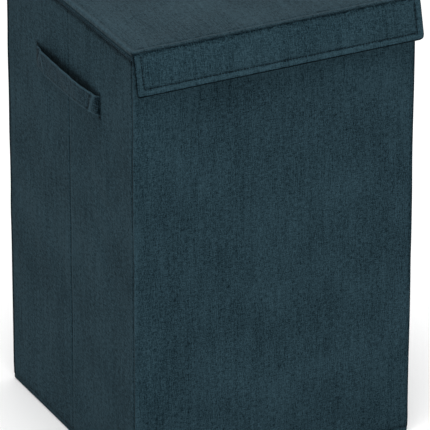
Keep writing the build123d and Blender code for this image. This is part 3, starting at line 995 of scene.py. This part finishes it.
def lid_painted_light(a, b):
    """A painted highlight round the lid's edge, fading towards the flap, and painted shade in the groove inside it."""
    inside_edge = np.minimum(np.minimum(LID_HALF - np.abs(a), b), lid_long - b)
    # A painted highlight on the lid's rounded edge; the second term is painted shade in the seam's groove.
    painted_light = 0.32 * bump(inside_edge, 1.6 * MM, 1.3 * MM) * rise(lid_long - 2 * MM - b, 6)
    return painted_light - 0.16 * bump(inside_edge, 7.0 * MM, 1.2 * MM)


def nip_ends(places):
    """Draws the cloth's two side edges in by up to 0.5 mm at the crease, where the fold pulls them."""
    axis_y, axis_z = joint_at["flap_crease"].y, joint_at["flap_crease"].z
    from_crease = np.hypot(places[:, 1] - axis_y, places[:, 2] - axis_z)
    pull = 0.5 * MM * bump(from_crease, 0, 3 * MM) * rise(np.abs(places[:, 0]) - LID_HALF + 14 * MM, 14)
    moved = places.copy()
    moved[:, 0] -= np.sign(places[:, 0]) * pull
    return moved


lid_rims = (EDGE, EDGE)
side_fine = [(-LID_HALF + 5 * MM, 4 * MM, 7), (LID_HALF - 5 * MM, 4 * MM, 7)]
end_fine = [(5 * MM, 4 * MM, 7), (lid_long - 5 * MM, 4 * MM, 9)]
lid = bent_slab("lid_cloth", spaced(-LID_HALF, LID_HALF, 5 * MM, rims=lid_rims, fine=side_fine),
                spaced(0, lid_long, 5 * MM, rims=lid_rims, fine=end_fine), (1, 0, 0),
                straight((0, LID_REAR, LID_TOP), (0, -1, 0), (0, 0, 1)), lid_face,
                level(LID_UNDER - LID_TOP + 0.2 * MM), rims=lid_rims * 2,
                corners=(3 * MM, 3 * MM, 0.8 * MM, 0.8 * MM), shape=nip_ends, uv_along="a", seam=lid_painted_light)
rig.ride(lid, "lid")
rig.replaces(lid, "lid_top_cloth")
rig.slot(lid, "linen_cloth")
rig.padded(lid, fill=0.9)

INSET = 3.2 * MM
thin = (1 * MM, 1 * MM)
lid_lining = bent_slab("lid_lining_cloth", spaced(-LID_HALF + INSET, LID_HALF - INSET, 9 * MM, rims=thin),
                       spaced(INSET, lid_long, 9 * MM, rims=thin), (1, 0, 0),
                       straight((0, LID_REAR, LID_UNDER), (0, -1, 0), (0, 0, -1)),
                       level(0.1 * MM), level(-0.5 * MM), rims=thin * 2, corners=(3 * MM,) * 4)
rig.ride(lid_lining, "lid")
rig.replaces(lid_lining, "lid_lining")
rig.slot(lid_lining, "lining_cloth")
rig.sheet(lid_lining, flat=(2 * LID_HALF - 2 * INSET, lid_long - INSET), held="stretched")

# %% The strip that hinges the lid on the rear wall
axis = joint_at["lid_hinge"]
up_wall = [(0, REAR + 0.65 * MM, low["lid_hinge_strip"].z), (0, REAR + 0.7 * MM, 0.525),
           (0, REAR + 0.75 * MM, 0.540), (0, REAR + 1.1 * MM, axis.z - 3.5 * MM)]
over_lid = [(0, axis.y - y * MM, axis.z + z * MM)
            for y, z in ((0, -1.2), (0.1, 0.5), (1.1, 1.3), (3.2, 1.35), (5.5, 1.2))]
strip_line = smooth_line(up_wall + over_lid, 400)
strip_path, strip_length = line_path(strip_line, side_normals(strip_line))
strip_rims = (0.8 * MM, 0.8 * MM)
strip_across = spaced(-HALF + 1 * MM, HALF - 1 * MM, 8 * MM, rims=strip_rims)
strip_down = spaced(0, strip_length, 3 * MM, rims=thin, fine=[(strip_length - 7 * MM, 6.9 * MM, 24)])
strip = bent_slab("lid_hinge_cloth", strip_across, strip_down, (1, 0, 0), strip_path,
                  level(0.35 * MM), level(-0.35 * MM), rims=strip_rims + thin,
                  uv_from=(0.2, 0.4), uv_along="a")
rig.blend(strip, "back", "lid", start=(0, axis.y, axis.z - 2.5 * MM),
         end=(0, axis.y - 1.5 * MM, axis.z + 1.3 * MM))
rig.replaces(strip, "lid_hinge_strip")
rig.slot(strip, "linen_cloth")
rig.sheet(strip, flat=(2 * HALF - 2 * MM, float(strip_length)), held="folded")

# %% The flap's own plane, its crease and its cloth
crease = joint_at["flap_crease"]
LEAN = radians(14)
down = np.array([0, -sin(LEAN), -cos(LEAN)])
facing = np.array([0, -cos(LEAN), sin(LEAN)])
FLAP_START = 1.0 * MM
FLAP_DROP = 49 * MM
FLAP_OUT = 0.8 * MM
FLAP_THICK = 3.5 * MM
SEWN = 8.6 * MM
flap_from = np.array([0, crease.y, crease.z])
flap_path = straight(flap_from, down, facing)


def flap_face(a, b):
    """The flap's outer face: wadded, with a sewn groove inside its three free edges, a firmer border
    outside the groove and a soft dip towards the crease."""
    edge = np.minimum(LID_HALF - np.abs(a), FLAP_DROP - b)
    pad = 1.15 * MM * rise(edge - SEWN, 13) * rise(b - 1 * MM, 9)
    border = 0.55 * MM * bump(edge, 4.4 * MM, 2.6 * MM) * rise(b - 2 * MM, 8)
    groove = 0.75 * MM * bump(edge, SEWN, 1.1 * MM) * rise(b - 5 * MM, 5)
    pucker = 0.12 * MM * np.cos(2 * pi * (a + b) / 3.6e-3) * bump(edge, SEWN + 2 * MM, 2 * MM)
    drape = 0.55 * MM * slow_waves(1.9 * a + 0.7, 2.2 * b) * rise(edge, 20) * rise(b, 12)
    return FLAP_OUT + pad + border - groove + pucker + drape


def flap_painted_light(a, b):
    """Painted shade in the sewn groove, at the crease and on the edges, a painted shadow along the bottom edge, and a
    painted highlight on the border outside the groove.
    """
    edge = np.minimum(LID_HALF - np.abs(a), FLAP_DROP - b)
    groove = -0.3 * bump(edge, SEWN, 0.9 * MM) * rise(b - 4 * MM, 4) - 0.4 * bump(b, FLAP_START, 1.6 * MM)
    # under paints shadow on the flap's free edges, and more along its bottom edge, where the shadow under the flap
    # falls.
    under = -0.8 * rise(1.4 * MM - edge, 1.1) - 0.8 * ease((2.4 * MM - FLAP_DROP + b) / MM)
    return groove + 0.24 * bump(edge, 4.4 * MM, 2.0 * MM) + under


flap_rims = (2.2 * MM, 2.2 * MM)
border_lines = [(-LID_HALF + SEWN, 3.2 * MM, 13), (LID_HALF - SEWN, 3.2 * MM, 13)]
flap = bent_slab("flap_cloth", spaced(-LID_HALF, LID_HALF, 3 * MM, rims=flap_rims, fine=border_lines),
                 spaced(FLAP_START, FLAP_DROP, 2.5 * MM, rims=flap_rims,
                        fine=[(FLAP_DROP - SEWN, 3.2 * MM, 13)]), (1, 0, 0), flap_path, flap_face,
                 level(FLAP_OUT - FLAP_THICK + 0.25 * MM),
                 rims=flap_rims * 2, corners=(0.8 * MM, 0.8 * MM, 3.5 * MM, 6.5 * MM), shape=nip_ends,
                 uv_from=(0, lid_long + 5 * MM), uv_along="a", seam=flap_painted_light)
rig.ride(flap, "flap")
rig.replaces(flap, "flap_outer_cloth")
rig.slot(flap, "linen_cloth")
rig.padded(flap, fill=0.8)

FLAP_UNDER = FLAP_THICK - FLAP_OUT
flap_lining = bent_slab("flap_lining_cloth",
                        spaced(-LID_HALF + 2.6 * MM, LID_HALF - 2.6 * MM, 9 * MM, rims=thin),
                        spaced(FLAP_START + 1 * MM, FLAP_DROP - 2.6 * MM, 6 * MM, rims=thin), (1, 0, 0),
                        straight(flap_from, down, -facing), level(FLAP_UNDER + 0.1 * MM),
                        level(FLAP_UNDER - 0.5 * MM), rims=thin * 2,
                        corners=(3 * MM, 3 * MM, 3 * MM, 5 * MM))
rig.ride(flap_lining, "flap")
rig.replaces(flap_lining, "flap_lining")
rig.slot(flap_lining, "lining_cloth")
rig.sheet(flap_lining, flat=(2 * LID_HALF - 5.2 * MM, FLAP_DROP - FLAP_START - 3.6 * MM), held="stretched")

on_lid = [(0, LID_FRONT + 3.5 * MM, LID_TOP - 1.5 * MM), (0, LID_FRONT, LID_TOP - 1.55 * MM),
          flap_from + [0, 2.0 * MM, -0.75 * MM]]
on_flap = [flap_from + far * MM * down - deep * MM * facing
           for far, deep in ((0.6, 0.55), (2.6, 0.6), (6, 0.7))]
turn_line = smooth_line(on_lid + on_flap, 200)
turn_path, turn_length = line_path(turn_line, side_normals(turn_line))
fold_rims = (1.5 * MM, 1.5 * MM)
# The crease strip is painted darker all over: painted shade for the dip of the crease.
fold = bent_slab("flap_crease_cloth", spaced(-LID_HALF, LID_HALF, 4 * MM, rims=fold_rims),
                 spaced(0, turn_length, 0.7 * MM), (1, 0, 0), turn_path, level(0.5 * MM), level(-0.5 * MM),
                 rims=fold_rims + (0, 0), shape=nip_ends, uv_from=(0, lid_long), uv_along="a",
                 seam=level(-0.6))
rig.blend(fold, "lid", "flap", start=flap_from + np.array([0, 2.6 * MM, 0]), end=flap_from + 2.6 * MM * down)
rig.replaces(fold, "flap_fold")
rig.slot(fold, "linen_cloth")
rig.sheet(fold, flat=(2 * LID_HALF, float(max(turn_length, 0.0101))), held="folded")
print(f"flap: {2000 * LID_HALF:.0f} x {1000 * (FLAP_DROP - FLAP_START):.0f} mm,",
      f"crease strip {1000 * turn_length:.1f} mm")

# %% [markdown]
# ## Stitches
# A row of stitches is one small bead of thread repeated along a line. The bead has four rings of
# six points, and whole arrays place it: each copy has its own middle, direction along the row and
# direction off the cloth. So a row of hundreds stays light, and every stitch is real geometry.

# %% The stitch and its row
RING = np.arange(6) * pi / 3
BEAD = np.concatenate([np.stack([np.full(6, x), r * np.cos(RING), r * np.sin(RING)], -1)
                       for x, r in ((-0.5, 0.35), (-0.3, 1.0), (0.3, 1.0), (0.5, 0.35))])
ring = np.arange(6)
after = (ring + 1) % 6
BEAD_SIDES = [np.stack([k + ring, k + 6 + ring, k + 6 + after, k + after], -1)[:, ::-1] for k in (0, 6, 12)]
BEAD_ENDS = [np.array([[0, 1, 2, 3], [0, 3, 4, 5]])[:, ::-1], np.array([[18, 19, 20, 21], [18, 21, 22, 23]])]
BEAD_FACES = np.concatenate(BEAD_SIDES + BEAD_ENDS)


def stitches(name, middles, along, off, long=2.5 * MM, wide=0.55 * MM, thick=0.35 * MM):
    """A row of stitches: middle + x long along + y wide across + z thick off, for each bead point."""
    along = along / np.linalg.norm(along, axis=1, keepdims=True)
    off = off - along * (off * along).sum(1, keepdims=True)
    off = off / np.linalg.norm(off, axis=1, keepdims=True)
    across = np.cross(off, along)
    x, y, z = BEAD[:, 0], BEAD[:, 1], BEAD[:, 2]
    places = (middles[:, None] + long * x[None, :, None] * along[:, None]
              + wide * y[None, :, None] * across[:, None] + thick * z[None, :, None] * off[:, None])
    faces = BEAD_FACES[None] + 24 * np.arange(len(middles))[:, None, None]
    uv = np.stack([places[..., 0] + places[..., 1], places[..., 2]], -1)
    return make_mesh(name, places.reshape(-1, 3), faces.reshape(-1, 4), uv.reshape(-1, 2), sharp=70)


def along_row(points, pitch):
    """Evenly spaced middles and directions along a polyline."""
    distance = lengths(points)
    places = np.arange(pitch / 2, distance[-1], pitch)
    shifts = (-0.3 * MM, 0, 0.3 * MM)
    behind, middle, ahead = (read_off(points, distance, places + shift) for shift in shifts)
    return middle, ahead - behind


# %% Sew the flap, the rim and the patches
thread_pieces = []
THREAD_PROUD = 0.12 * MM
PATCH_SEWN = 2.4 * MM
FLAP_PITCH, RIM_PITCH, PATCH_PITCH = 3.8 * MM, 4 * MM, 3.0 * MM
sewn_half, sewn_top, sewn_foot = LID_HALF - SEWN, FLAP_START + 1 * MM, FLAP_DROP - SEWN
sewn_a = np.concatenate([np.full(30, -sewn_half), np.linspace(-sewn_half, sewn_half, 200),
                         np.full(30, sewn_half)])
sewn_b = np.concatenate([np.linspace(sewn_top, sewn_foot, 30), np.full(200, sewn_foot),
                         np.linspace(sewn_foot, sewn_top, 30)])
sewn_out = (flap_face(sewn_a, sewn_b) + THREAD_PROUD)[:, None] * facing
row = flap_path(sewn_b)[0] + sewn_a[:, None] * np.array([1.0, 0, 0]) + sewn_out
middle, ahead = along_row(row, FLAP_PITCH)
flap_row = stitches("flap_stitches", middle, ahead, np.broadcast_to(facing, middle.shape))
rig.ride(flap_row, "flap")
thread_pieces.append(flap_row)

for name, u0, u1, first, second in stretches(outside):
    u = np.arange(u0 + 2.6 * MM, u1 - 2.4 * MM, RIM_PITCH)
    normals = outside.at(u)[1]
    tangent = np.cross([0, 0, 1], normals)
    outer, inner = round_rim(np.array([(1.45 * MM, 1.8 * MM), (-5.7 * MM, 1.8 * MM)]), u)
    rim_row = stitches(f"{name}_rim_stitches", np.concatenate([outer, inner]),
                       np.concatenate([tangent, tangent]), np.concatenate([normals, -normals]))
    join(rim_row, name, first, second, outside, u0, u1)
    thread_pieces.append(rim_row)

for side, way in (("left", -1), ("right", 1)):
    for part in ("rear", "front"):
        box_low, box_high = low[f"{side}_{part}_handle_patch"], high[f"{side}_{part}_handle_patch"]
        y0, z0 = box_low.y + PATCH_SEWN, box_low.z + PATCH_SEWN
        y1, z1 = box_high.y - PATCH_SEWN, box_high.z - PATCH_SEWN
        x = (box_low.x + box_high.x) / 2 - way * 0.35 * MM
        square = np.array([(x, y0, z0), (x, y1, z0), (x, y1, z1), (x, y0, z1), (x, y0, z0)])
        middle, ahead = along_row(square, PATCH_PITCH)
        inward = np.tile([-way, 0.0, 0.0], (len(middle), 1))
        patch_row = stitches(f"{side}_{part}_patch_stitches", middle, ahead, inward, long=2.0 * MM)
        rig.ride(patch_row, f"{side}_{part}")
        thread_pieces.append(patch_row)
print("stitch rows:", len(thread_pieces), "with", sum(len(o.data.polygons) for o in thread_pieces), "faces")

# %% [markdown]
# ## Cloth as a node group
# A heathered linen-look cloth is woven from yarns of slightly different shades, and each yarn swells
# in places, which leaves short light and dark streaks along both directions of the weave. One node
# group gives those streaks from stretched noise on the flat cut's own UV, in metres, so they run
# along the cloth wherever it bends. It puts out a tone and a height; the shader stays in each finish.

# %% Node helpers
def node(tree, kind, inputs=None, **settings):
    """A new node with its settings, each input set to a value or linked from a socket."""
    made = tree.nodes.new(kind)
    for key, value in settings.items():
        setattr(made, key, value)
    for key, value in (inputs or {}).items():
        if isinstance(value, bpy.types.NodeSocket):
            tree.links.new(value, made.inputs[key])
        else:
            made.inputs[key].default_value = value
    return made


def maths(tree, operation, first, second=0.5, third=0.5):
    """One Math node's result."""
    return node(tree, "ShaderNodeMath", {0: first, 1: second, 2: third}, operation=operation).outputs[0]


def noise(tree, where, scale, detail=2.0, rough=0.55):
    """Flat noise between 0 and 1 at where times scale, a pair of numbers for the two directions."""
    stretch = (scale[0], scale[1], 1.0)
    placed = node(tree, "ShaderNodeVectorMath", {0: where, 1: stretch}, operation="MULTIPLY")
    made = node(tree, "ShaderNodeTexNoise", {"Vector": placed.outputs[0], "Scale": 1.0, "Detail": detail,
                                             "Roughness": rough}, noise_dimensions="2D")
    return made.outputs["Fac"]


def new_group(name, inputs, outputs):
    """An empty node group with its named inputs and outputs, each a (label, kind)."""
    tree = bpy.data.node_groups.new(name, "ShaderNodeTree")
    for sockets, way in ((inputs, "INPUT"), (outputs, "OUTPUT")):
        for label, kind in sockets:
            tree.interface.new_socket(name=label, in_out=way, socket_type="NodeSocket" + kind)
    return tree, tree.nodes.new("NodeGroupInput").outputs, tree.nodes.new("NodeGroupOutput").inputs


# %% The slubbed weave
weave, given, gives = new_group("slubbed_weave", [("Cloth", "Vector"), ("Streaks", "Float")],
                                [("Tone", "Float"), ("Height", "Float")])
where = given["Cloth"]
yarns = {"weft": (0.85, noise(weave, where, (120, 760), 3.0, 0.6)),
         "warp": (1.1, noise(weave, where, (760, 190), 3.0, 0.6)),
         "long_warp": (0.35, noise(weave, where, (520, 26), 1.0)),
         "heather": (1.6, noise(weave, where, (880, 880), 2.0, 0.7)),
         "broad_warp": (0.2, noise(weave, where, (150, 9), 1.0))}
total = 0.0
for weight, yarn in yarns.values():
    total = maths(weave, "MULTIPLY_ADD", maths(weave, "SUBTRACT", yarn, 0.5), weight, total)
clouds = noise(weave, where, (14, 14), 2.0)
streaks = maths(weave, "MULTIPLY", total, given["Streaks"])
cloudy = maths(weave, "MULTIPLY_ADD", maths(weave, "SUBTRACT", clouds, 0.5), 0.35, streaks)
tone = maths(weave, "ADD", cloudy, 0.5)
weave.links.new(node(weave, "ShaderNodeClamp", {"Value": tone}).outputs[0], gives["Tone"])
split = node(weave, "ShaderNodeSeparateXYZ", {0: where})
YARN = 0.9 * MM
over = maths(weave, "SINE", maths(weave, "MULTIPLY", split.outputs[0], 2 * pi / YARN))
under = maths(weave, "SINE", maths(weave, "MULTIPLY", split.outputs[1], 2 * pi / YARN))
cross = maths(weave, "MULTIPLY", over, under)
weave.links.new(maths(weave, "MULTIPLY_ADD", cross, 0.22, total), gives["Height"])

# %% [markdown]
# ## The finishes
# The outer cloth, the straps and the rim's tape are one dyed cloth in slightly different weights, so
# they share the weave and differ in shade and scale. The lining is a grey non-woven sheet with small
# pressed dimples. The boards are pressed brown fibre. A little sheen gives cloth a soft light edge.

# %% Woven finishes
def linear(r, g, b):
    """A colour given as it is seen, from 0 to 255, as the linear light that a shader takes."""
    c = np.array([r, g, b]) / 255
    return tuple(np.where(c <= 0.04045, c / 12.92, ((c + 0.055) / 1.055) ** 2.4)) + (1.0,)


def new_finish(name):
    """A new material with its node tree and its shader."""
    finish = bpy.data.materials.new(name)
    finish.use_nodes = True
    return finish, finish.node_tree, finish.node_tree.nodes["Principled BSDF"]


def woven(name, dark, light, streaks=1.0, raised=0.25, rough=0.9, sheen=0.008, turn=0.0):
    """A woven finish: the weave's tone mixes a dark and a light shade, and its height lifts the yarns."""
    finish, tree, shader = new_finish(name)
    cloth = node(tree, "ShaderNodeUVMap", uv_map="cloth")
    turned = node(tree, "ShaderNodeMapping", {"Vector": cloth.outputs[0], "Rotation": (0, 0, turn)})
    weave_node = node(tree, "ShaderNodeGroup", node_tree=weave)
    tree.links.new(turned.outputs[0], weave_node.inputs["Cloth"])
    weave_node.inputs["Streaks"].default_value = streaks
    # The vertex marks shift the weave's tone: painted shade and dark seam lines below 0, painted highlights above 0.
    seam = node(tree, "ShaderNodeAttribute", attribute_name="seam").outputs["Fac"]
    marked = maths(tree, "MULTIPLY_ADD", seam, 0.7, weave_node.outputs["Tone"])
    painted_light = node(tree, "ShaderNodeClamp", {"Value": marked})
    shade = node(tree, "ShaderNodeMix", {"Factor": painted_light.outputs[0], "A": dark, "B": light}, data_type="RGBA")
    tree.links.new(shade.outputs["Result"], shader.inputs["Base Color"])
    dull = node(tree, "ShaderNodeMapRange", {"Value": weave_node.outputs["Tone"], "To Min": rough + 0.06,
                                             "To Max": rough - 0.08})
    tree.links.new(dull.outputs[0], shader.inputs["Roughness"])
    lifted = node(tree, "ShaderNodeBump", {"Strength": raised, "Distance": 0.35 * MM,
                                           "Height": weave_node.outputs["Height"]})
    tree.links.new(lifted.outputs[0], shader.inputs["Normal"])
    shader.inputs["Sheen Weight"].default_value = sheen
    shader.inputs["Sheen Roughness"].default_value = 0.45
    shader.inputs["Specular IOR Level"].default_value = 0.03
    return finish


linen = woven("dark_linen_cloth", linear(3, 14, 19), linear(45, 67, 76))
# The lid takes a greyer copy of the same linen with more sheen: painted light for the lid's top, which faces the
# overhead light.
lid_linen_painted_light = woven("lid_linen_cloth", linear(7, 18, 23), linear(46, 65, 73), streaks=0.85, sheen=0.03)
strap_weave = woven("strap_webbing", linear(3, 12, 17), linear(46, 66, 75), streaks=1.15, raised=0.4,
                    turn=0.03)
tape_weave = woven("rim_tape_cloth", linear(3, 14, 19), linear(44, 65, 74), streaks=0.8)
thread = woven("sewing_thread", linear(6, 12, 16), linear(18, 30, 36), streaks=0.6, raised=0.1, rough=0.7)


# %% Lining and board
def pressed(name, dark, light, pitch, raised, rough, coordinates):
    """A pressed sheet: fibres as fine noise, and a grid of small dimples from a Voronoi distance."""
    finish, tree, shader = new_finish(name)
    if coordinates == "UV":
        where = node(tree, "ShaderNodeUVMap", uv_map="cloth").outputs[0]
    else:
        where = node(tree, "ShaderNodeTexCoord").outputs[coordinates]
    dots = node(tree, "ShaderNodeTexVoronoi", {"Vector": where, "Scale": 1 / pitch, "Randomness": 0.18})
    dimple = node(tree, "ShaderNodeMapRange", {"Value": dots.outputs["Distance"], "From Min": 0.12,
                                               "From Max": 0.34})
    fibre = node(tree, "ShaderNodeTexNoise", {"Vector": where, "Scale": 900.0, "Detail": 3.0}).outputs["Fac"]
    patchy = node(tree, "ShaderNodeTexNoise", {"Vector": where, "Scale": 22.0, "Detail": 2.0}).outputs["Fac"]
    pressed_in = maths(tree, "MULTIPLY_ADD", patchy, 0.35, maths(tree, "MULTIPLY", dimple.outputs[0], 0.3))
    tone = maths(tree, "MULTIPLY_ADD", fibre, 0.5, pressed_in)
    shade = node(tree, "ShaderNodeMix", {"Factor": tone, "A": dark, "B": light}, data_type="RGBA")
    tree.links.new(shade.outputs["Result"], shader.inputs["Base Color"])
    height = maths(tree, "MULTIPLY_ADD", fibre, 0.4, dimple.outputs[0])
    lifted = node(tree, "ShaderNodeBump", {"Strength": raised, "Distance": 0.3 * MM, "Height": height})
    tree.links.new(lifted.outputs[0], shader.inputs["Normal"])
    shader.inputs["Roughness"].default_value = rough
    shader.inputs["Specular IOR Level"].default_value = 0.3
    return finish


lining_finish = pressed("nonwoven_lining", linear(96, 98, 98), linear(142, 143, 141), 1.7 * MM, 0.5, 0.95,
                        "UV")
board_finish = pressed("pressed_board", linear(96, 84, 70), linear(140, 126, 106), 4.5 * MM, 0.15, 0.9,
                       "Object")

# %% Dress every piece
FINISH_OF_SLOT = {"linen_cloth": linen, "strap_cloth": strap_weave, "binding_tape": tape_weave,
                  "lining_cloth": lining_finish, "board": board_finish}
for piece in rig.pieces():
    if "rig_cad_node" in piece:
        finish = board_finish
    elif piece in thread_pieces:
        finish = thread
    # The lid's cloth takes the greyer copy of the linen, painted light for its top.
    elif piece.name == "lid_cloth":
        finish = lid_linen_painted_light
    else:
        finish = FINISH_OF_SLOT[piece["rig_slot"]]
    piece.data.materials.clear()
    piece.data.materials.append(finish)
print("dressed", len(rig.pieces()), "pieces")

# %% [markdown]
# ## Floor, light and camera
# A plain pale floor and a white surround give even studio light. A wide soft light overhead makes
# the lid the brightest face, as in a daylight studio. The camera stands well back with a long lens,
# turned to show the front and the left side, and looks down at about 26 degrees.

# %% Floor
def plain(name, colour, rough):
    """A plain finish for what isn't part of the object."""
    finish, _, shader = new_finish(name)
    shader.inputs["Base Color"].default_value = colour
    shader.inputs["Roughness"].default_value = rough
    return finish


floor_mesh = bpy.data.meshes.new("studio_floor")
floor_mesh.from_pydata([(-6, -6, 0), (6, -6, 0), (6, 6, 0), (-6, 6, 0)], [], [(0, 1, 2, 3)])
floor = bpy.data.objects.new("studio_floor", floor_mesh)
bpy.context.scene.collection.objects.link(floor)
floor_mesh.materials.append(plain("pale_floor", (0.9, 0.9, 0.9, 1), 0.9))
floor.location.z = -0.0004
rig.stage(floor)

# %% Light
scene = bpy.context.scene
scene.world = bpy.data.worlds.new("white_surround")
scene.world.use_nodes = True
surround = scene.world.node_tree.nodes["Background"].inputs
surround["Color"].default_value = (1, 1, 1, 1)
surround["Strength"].default_value = 0.8


def soft_light(name, place, aim, size, power):
    """A square soft light at place, turned to aim."""
    lamp = bpy.data.lights.new(name, "AREA")
    lamp.size = size
    lamp.energy = power
    made = bpy.data.objects.new(name, lamp)
    made.location = place
    made.rotation_euler = (Vector(aim) - Vector(place)).to_track_quat("-Z", "Y").to_euler()
    scene.collection.objects.link(made)


soft_light("overhead_light", (-0.2, -0.4, 2.6), (0, 0, 0.4), 2.4, 60)
soft_light("front_light", (-0.9, -3.0, 1.4), (0, 0, 0.3), 1.8, 18)
scene.view_settings.view_transform = "Standard"

# %% Camera
AZIMUTH = radians(-27.0)
ELEVATION = radians(25.7)
DISTANCE = 5.751
TARGET = Vector((0, 0, 0.255))
RIGHT_SHIFT = 0.0073
UP_SHIFT = -0.0087
SENSOR = 36.0
LENS = 418.6

back = Vector((sin(AZIMUTH) * cos(ELEVATION), -cos(AZIMUTH) * cos(ELEVATION), sin(ELEVATION)))
right = (-back).cross(Vector((0, 0, 1))).normalized()
up = right.cross(-back)
lens = bpy.data.cameras.new("studio_camera")
lens.lens = LENS
lens.sensor_width = SENSOR
lens.clip_end = 60
camera = bpy.data.objects.new("studio_camera", lens)
stand = Matrix.Translation(TARGET + RIGHT_SHIFT * right + UP_SHIFT * up + DISTANCE * back)
camera.matrix_world = stand @ Matrix((right, up, back)).transposed().to_4x4()
scene.collection.objects.link(camera)
scene.camera = camera
print(f"camera {DISTANCE:.2f} m away, {np.degrees(ELEVATION):.1f} degrees above level")

# %% [markdown]
# ## Compare with the frame and finish
# Cloth may stand a little proud of its frame, but the bin's size is the frame's. Both boxes are
# written down side by side, and the last line prints both sizes.

# %% Write both boxes and finish
now_low, now_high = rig.bounds()
sizes = {"cad": [list(cad_low), list(cad_high)], "visual": [list(now_low), list(now_high)]}
with open("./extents.json", "w") as file:
    json.dump(sizes, file)
print("frame box", [round(1000 * v, 1) for v in (cad_high - cad_low)],
      "with cloth", [round(1000 * v, 1) for v in (now_high - now_low)])
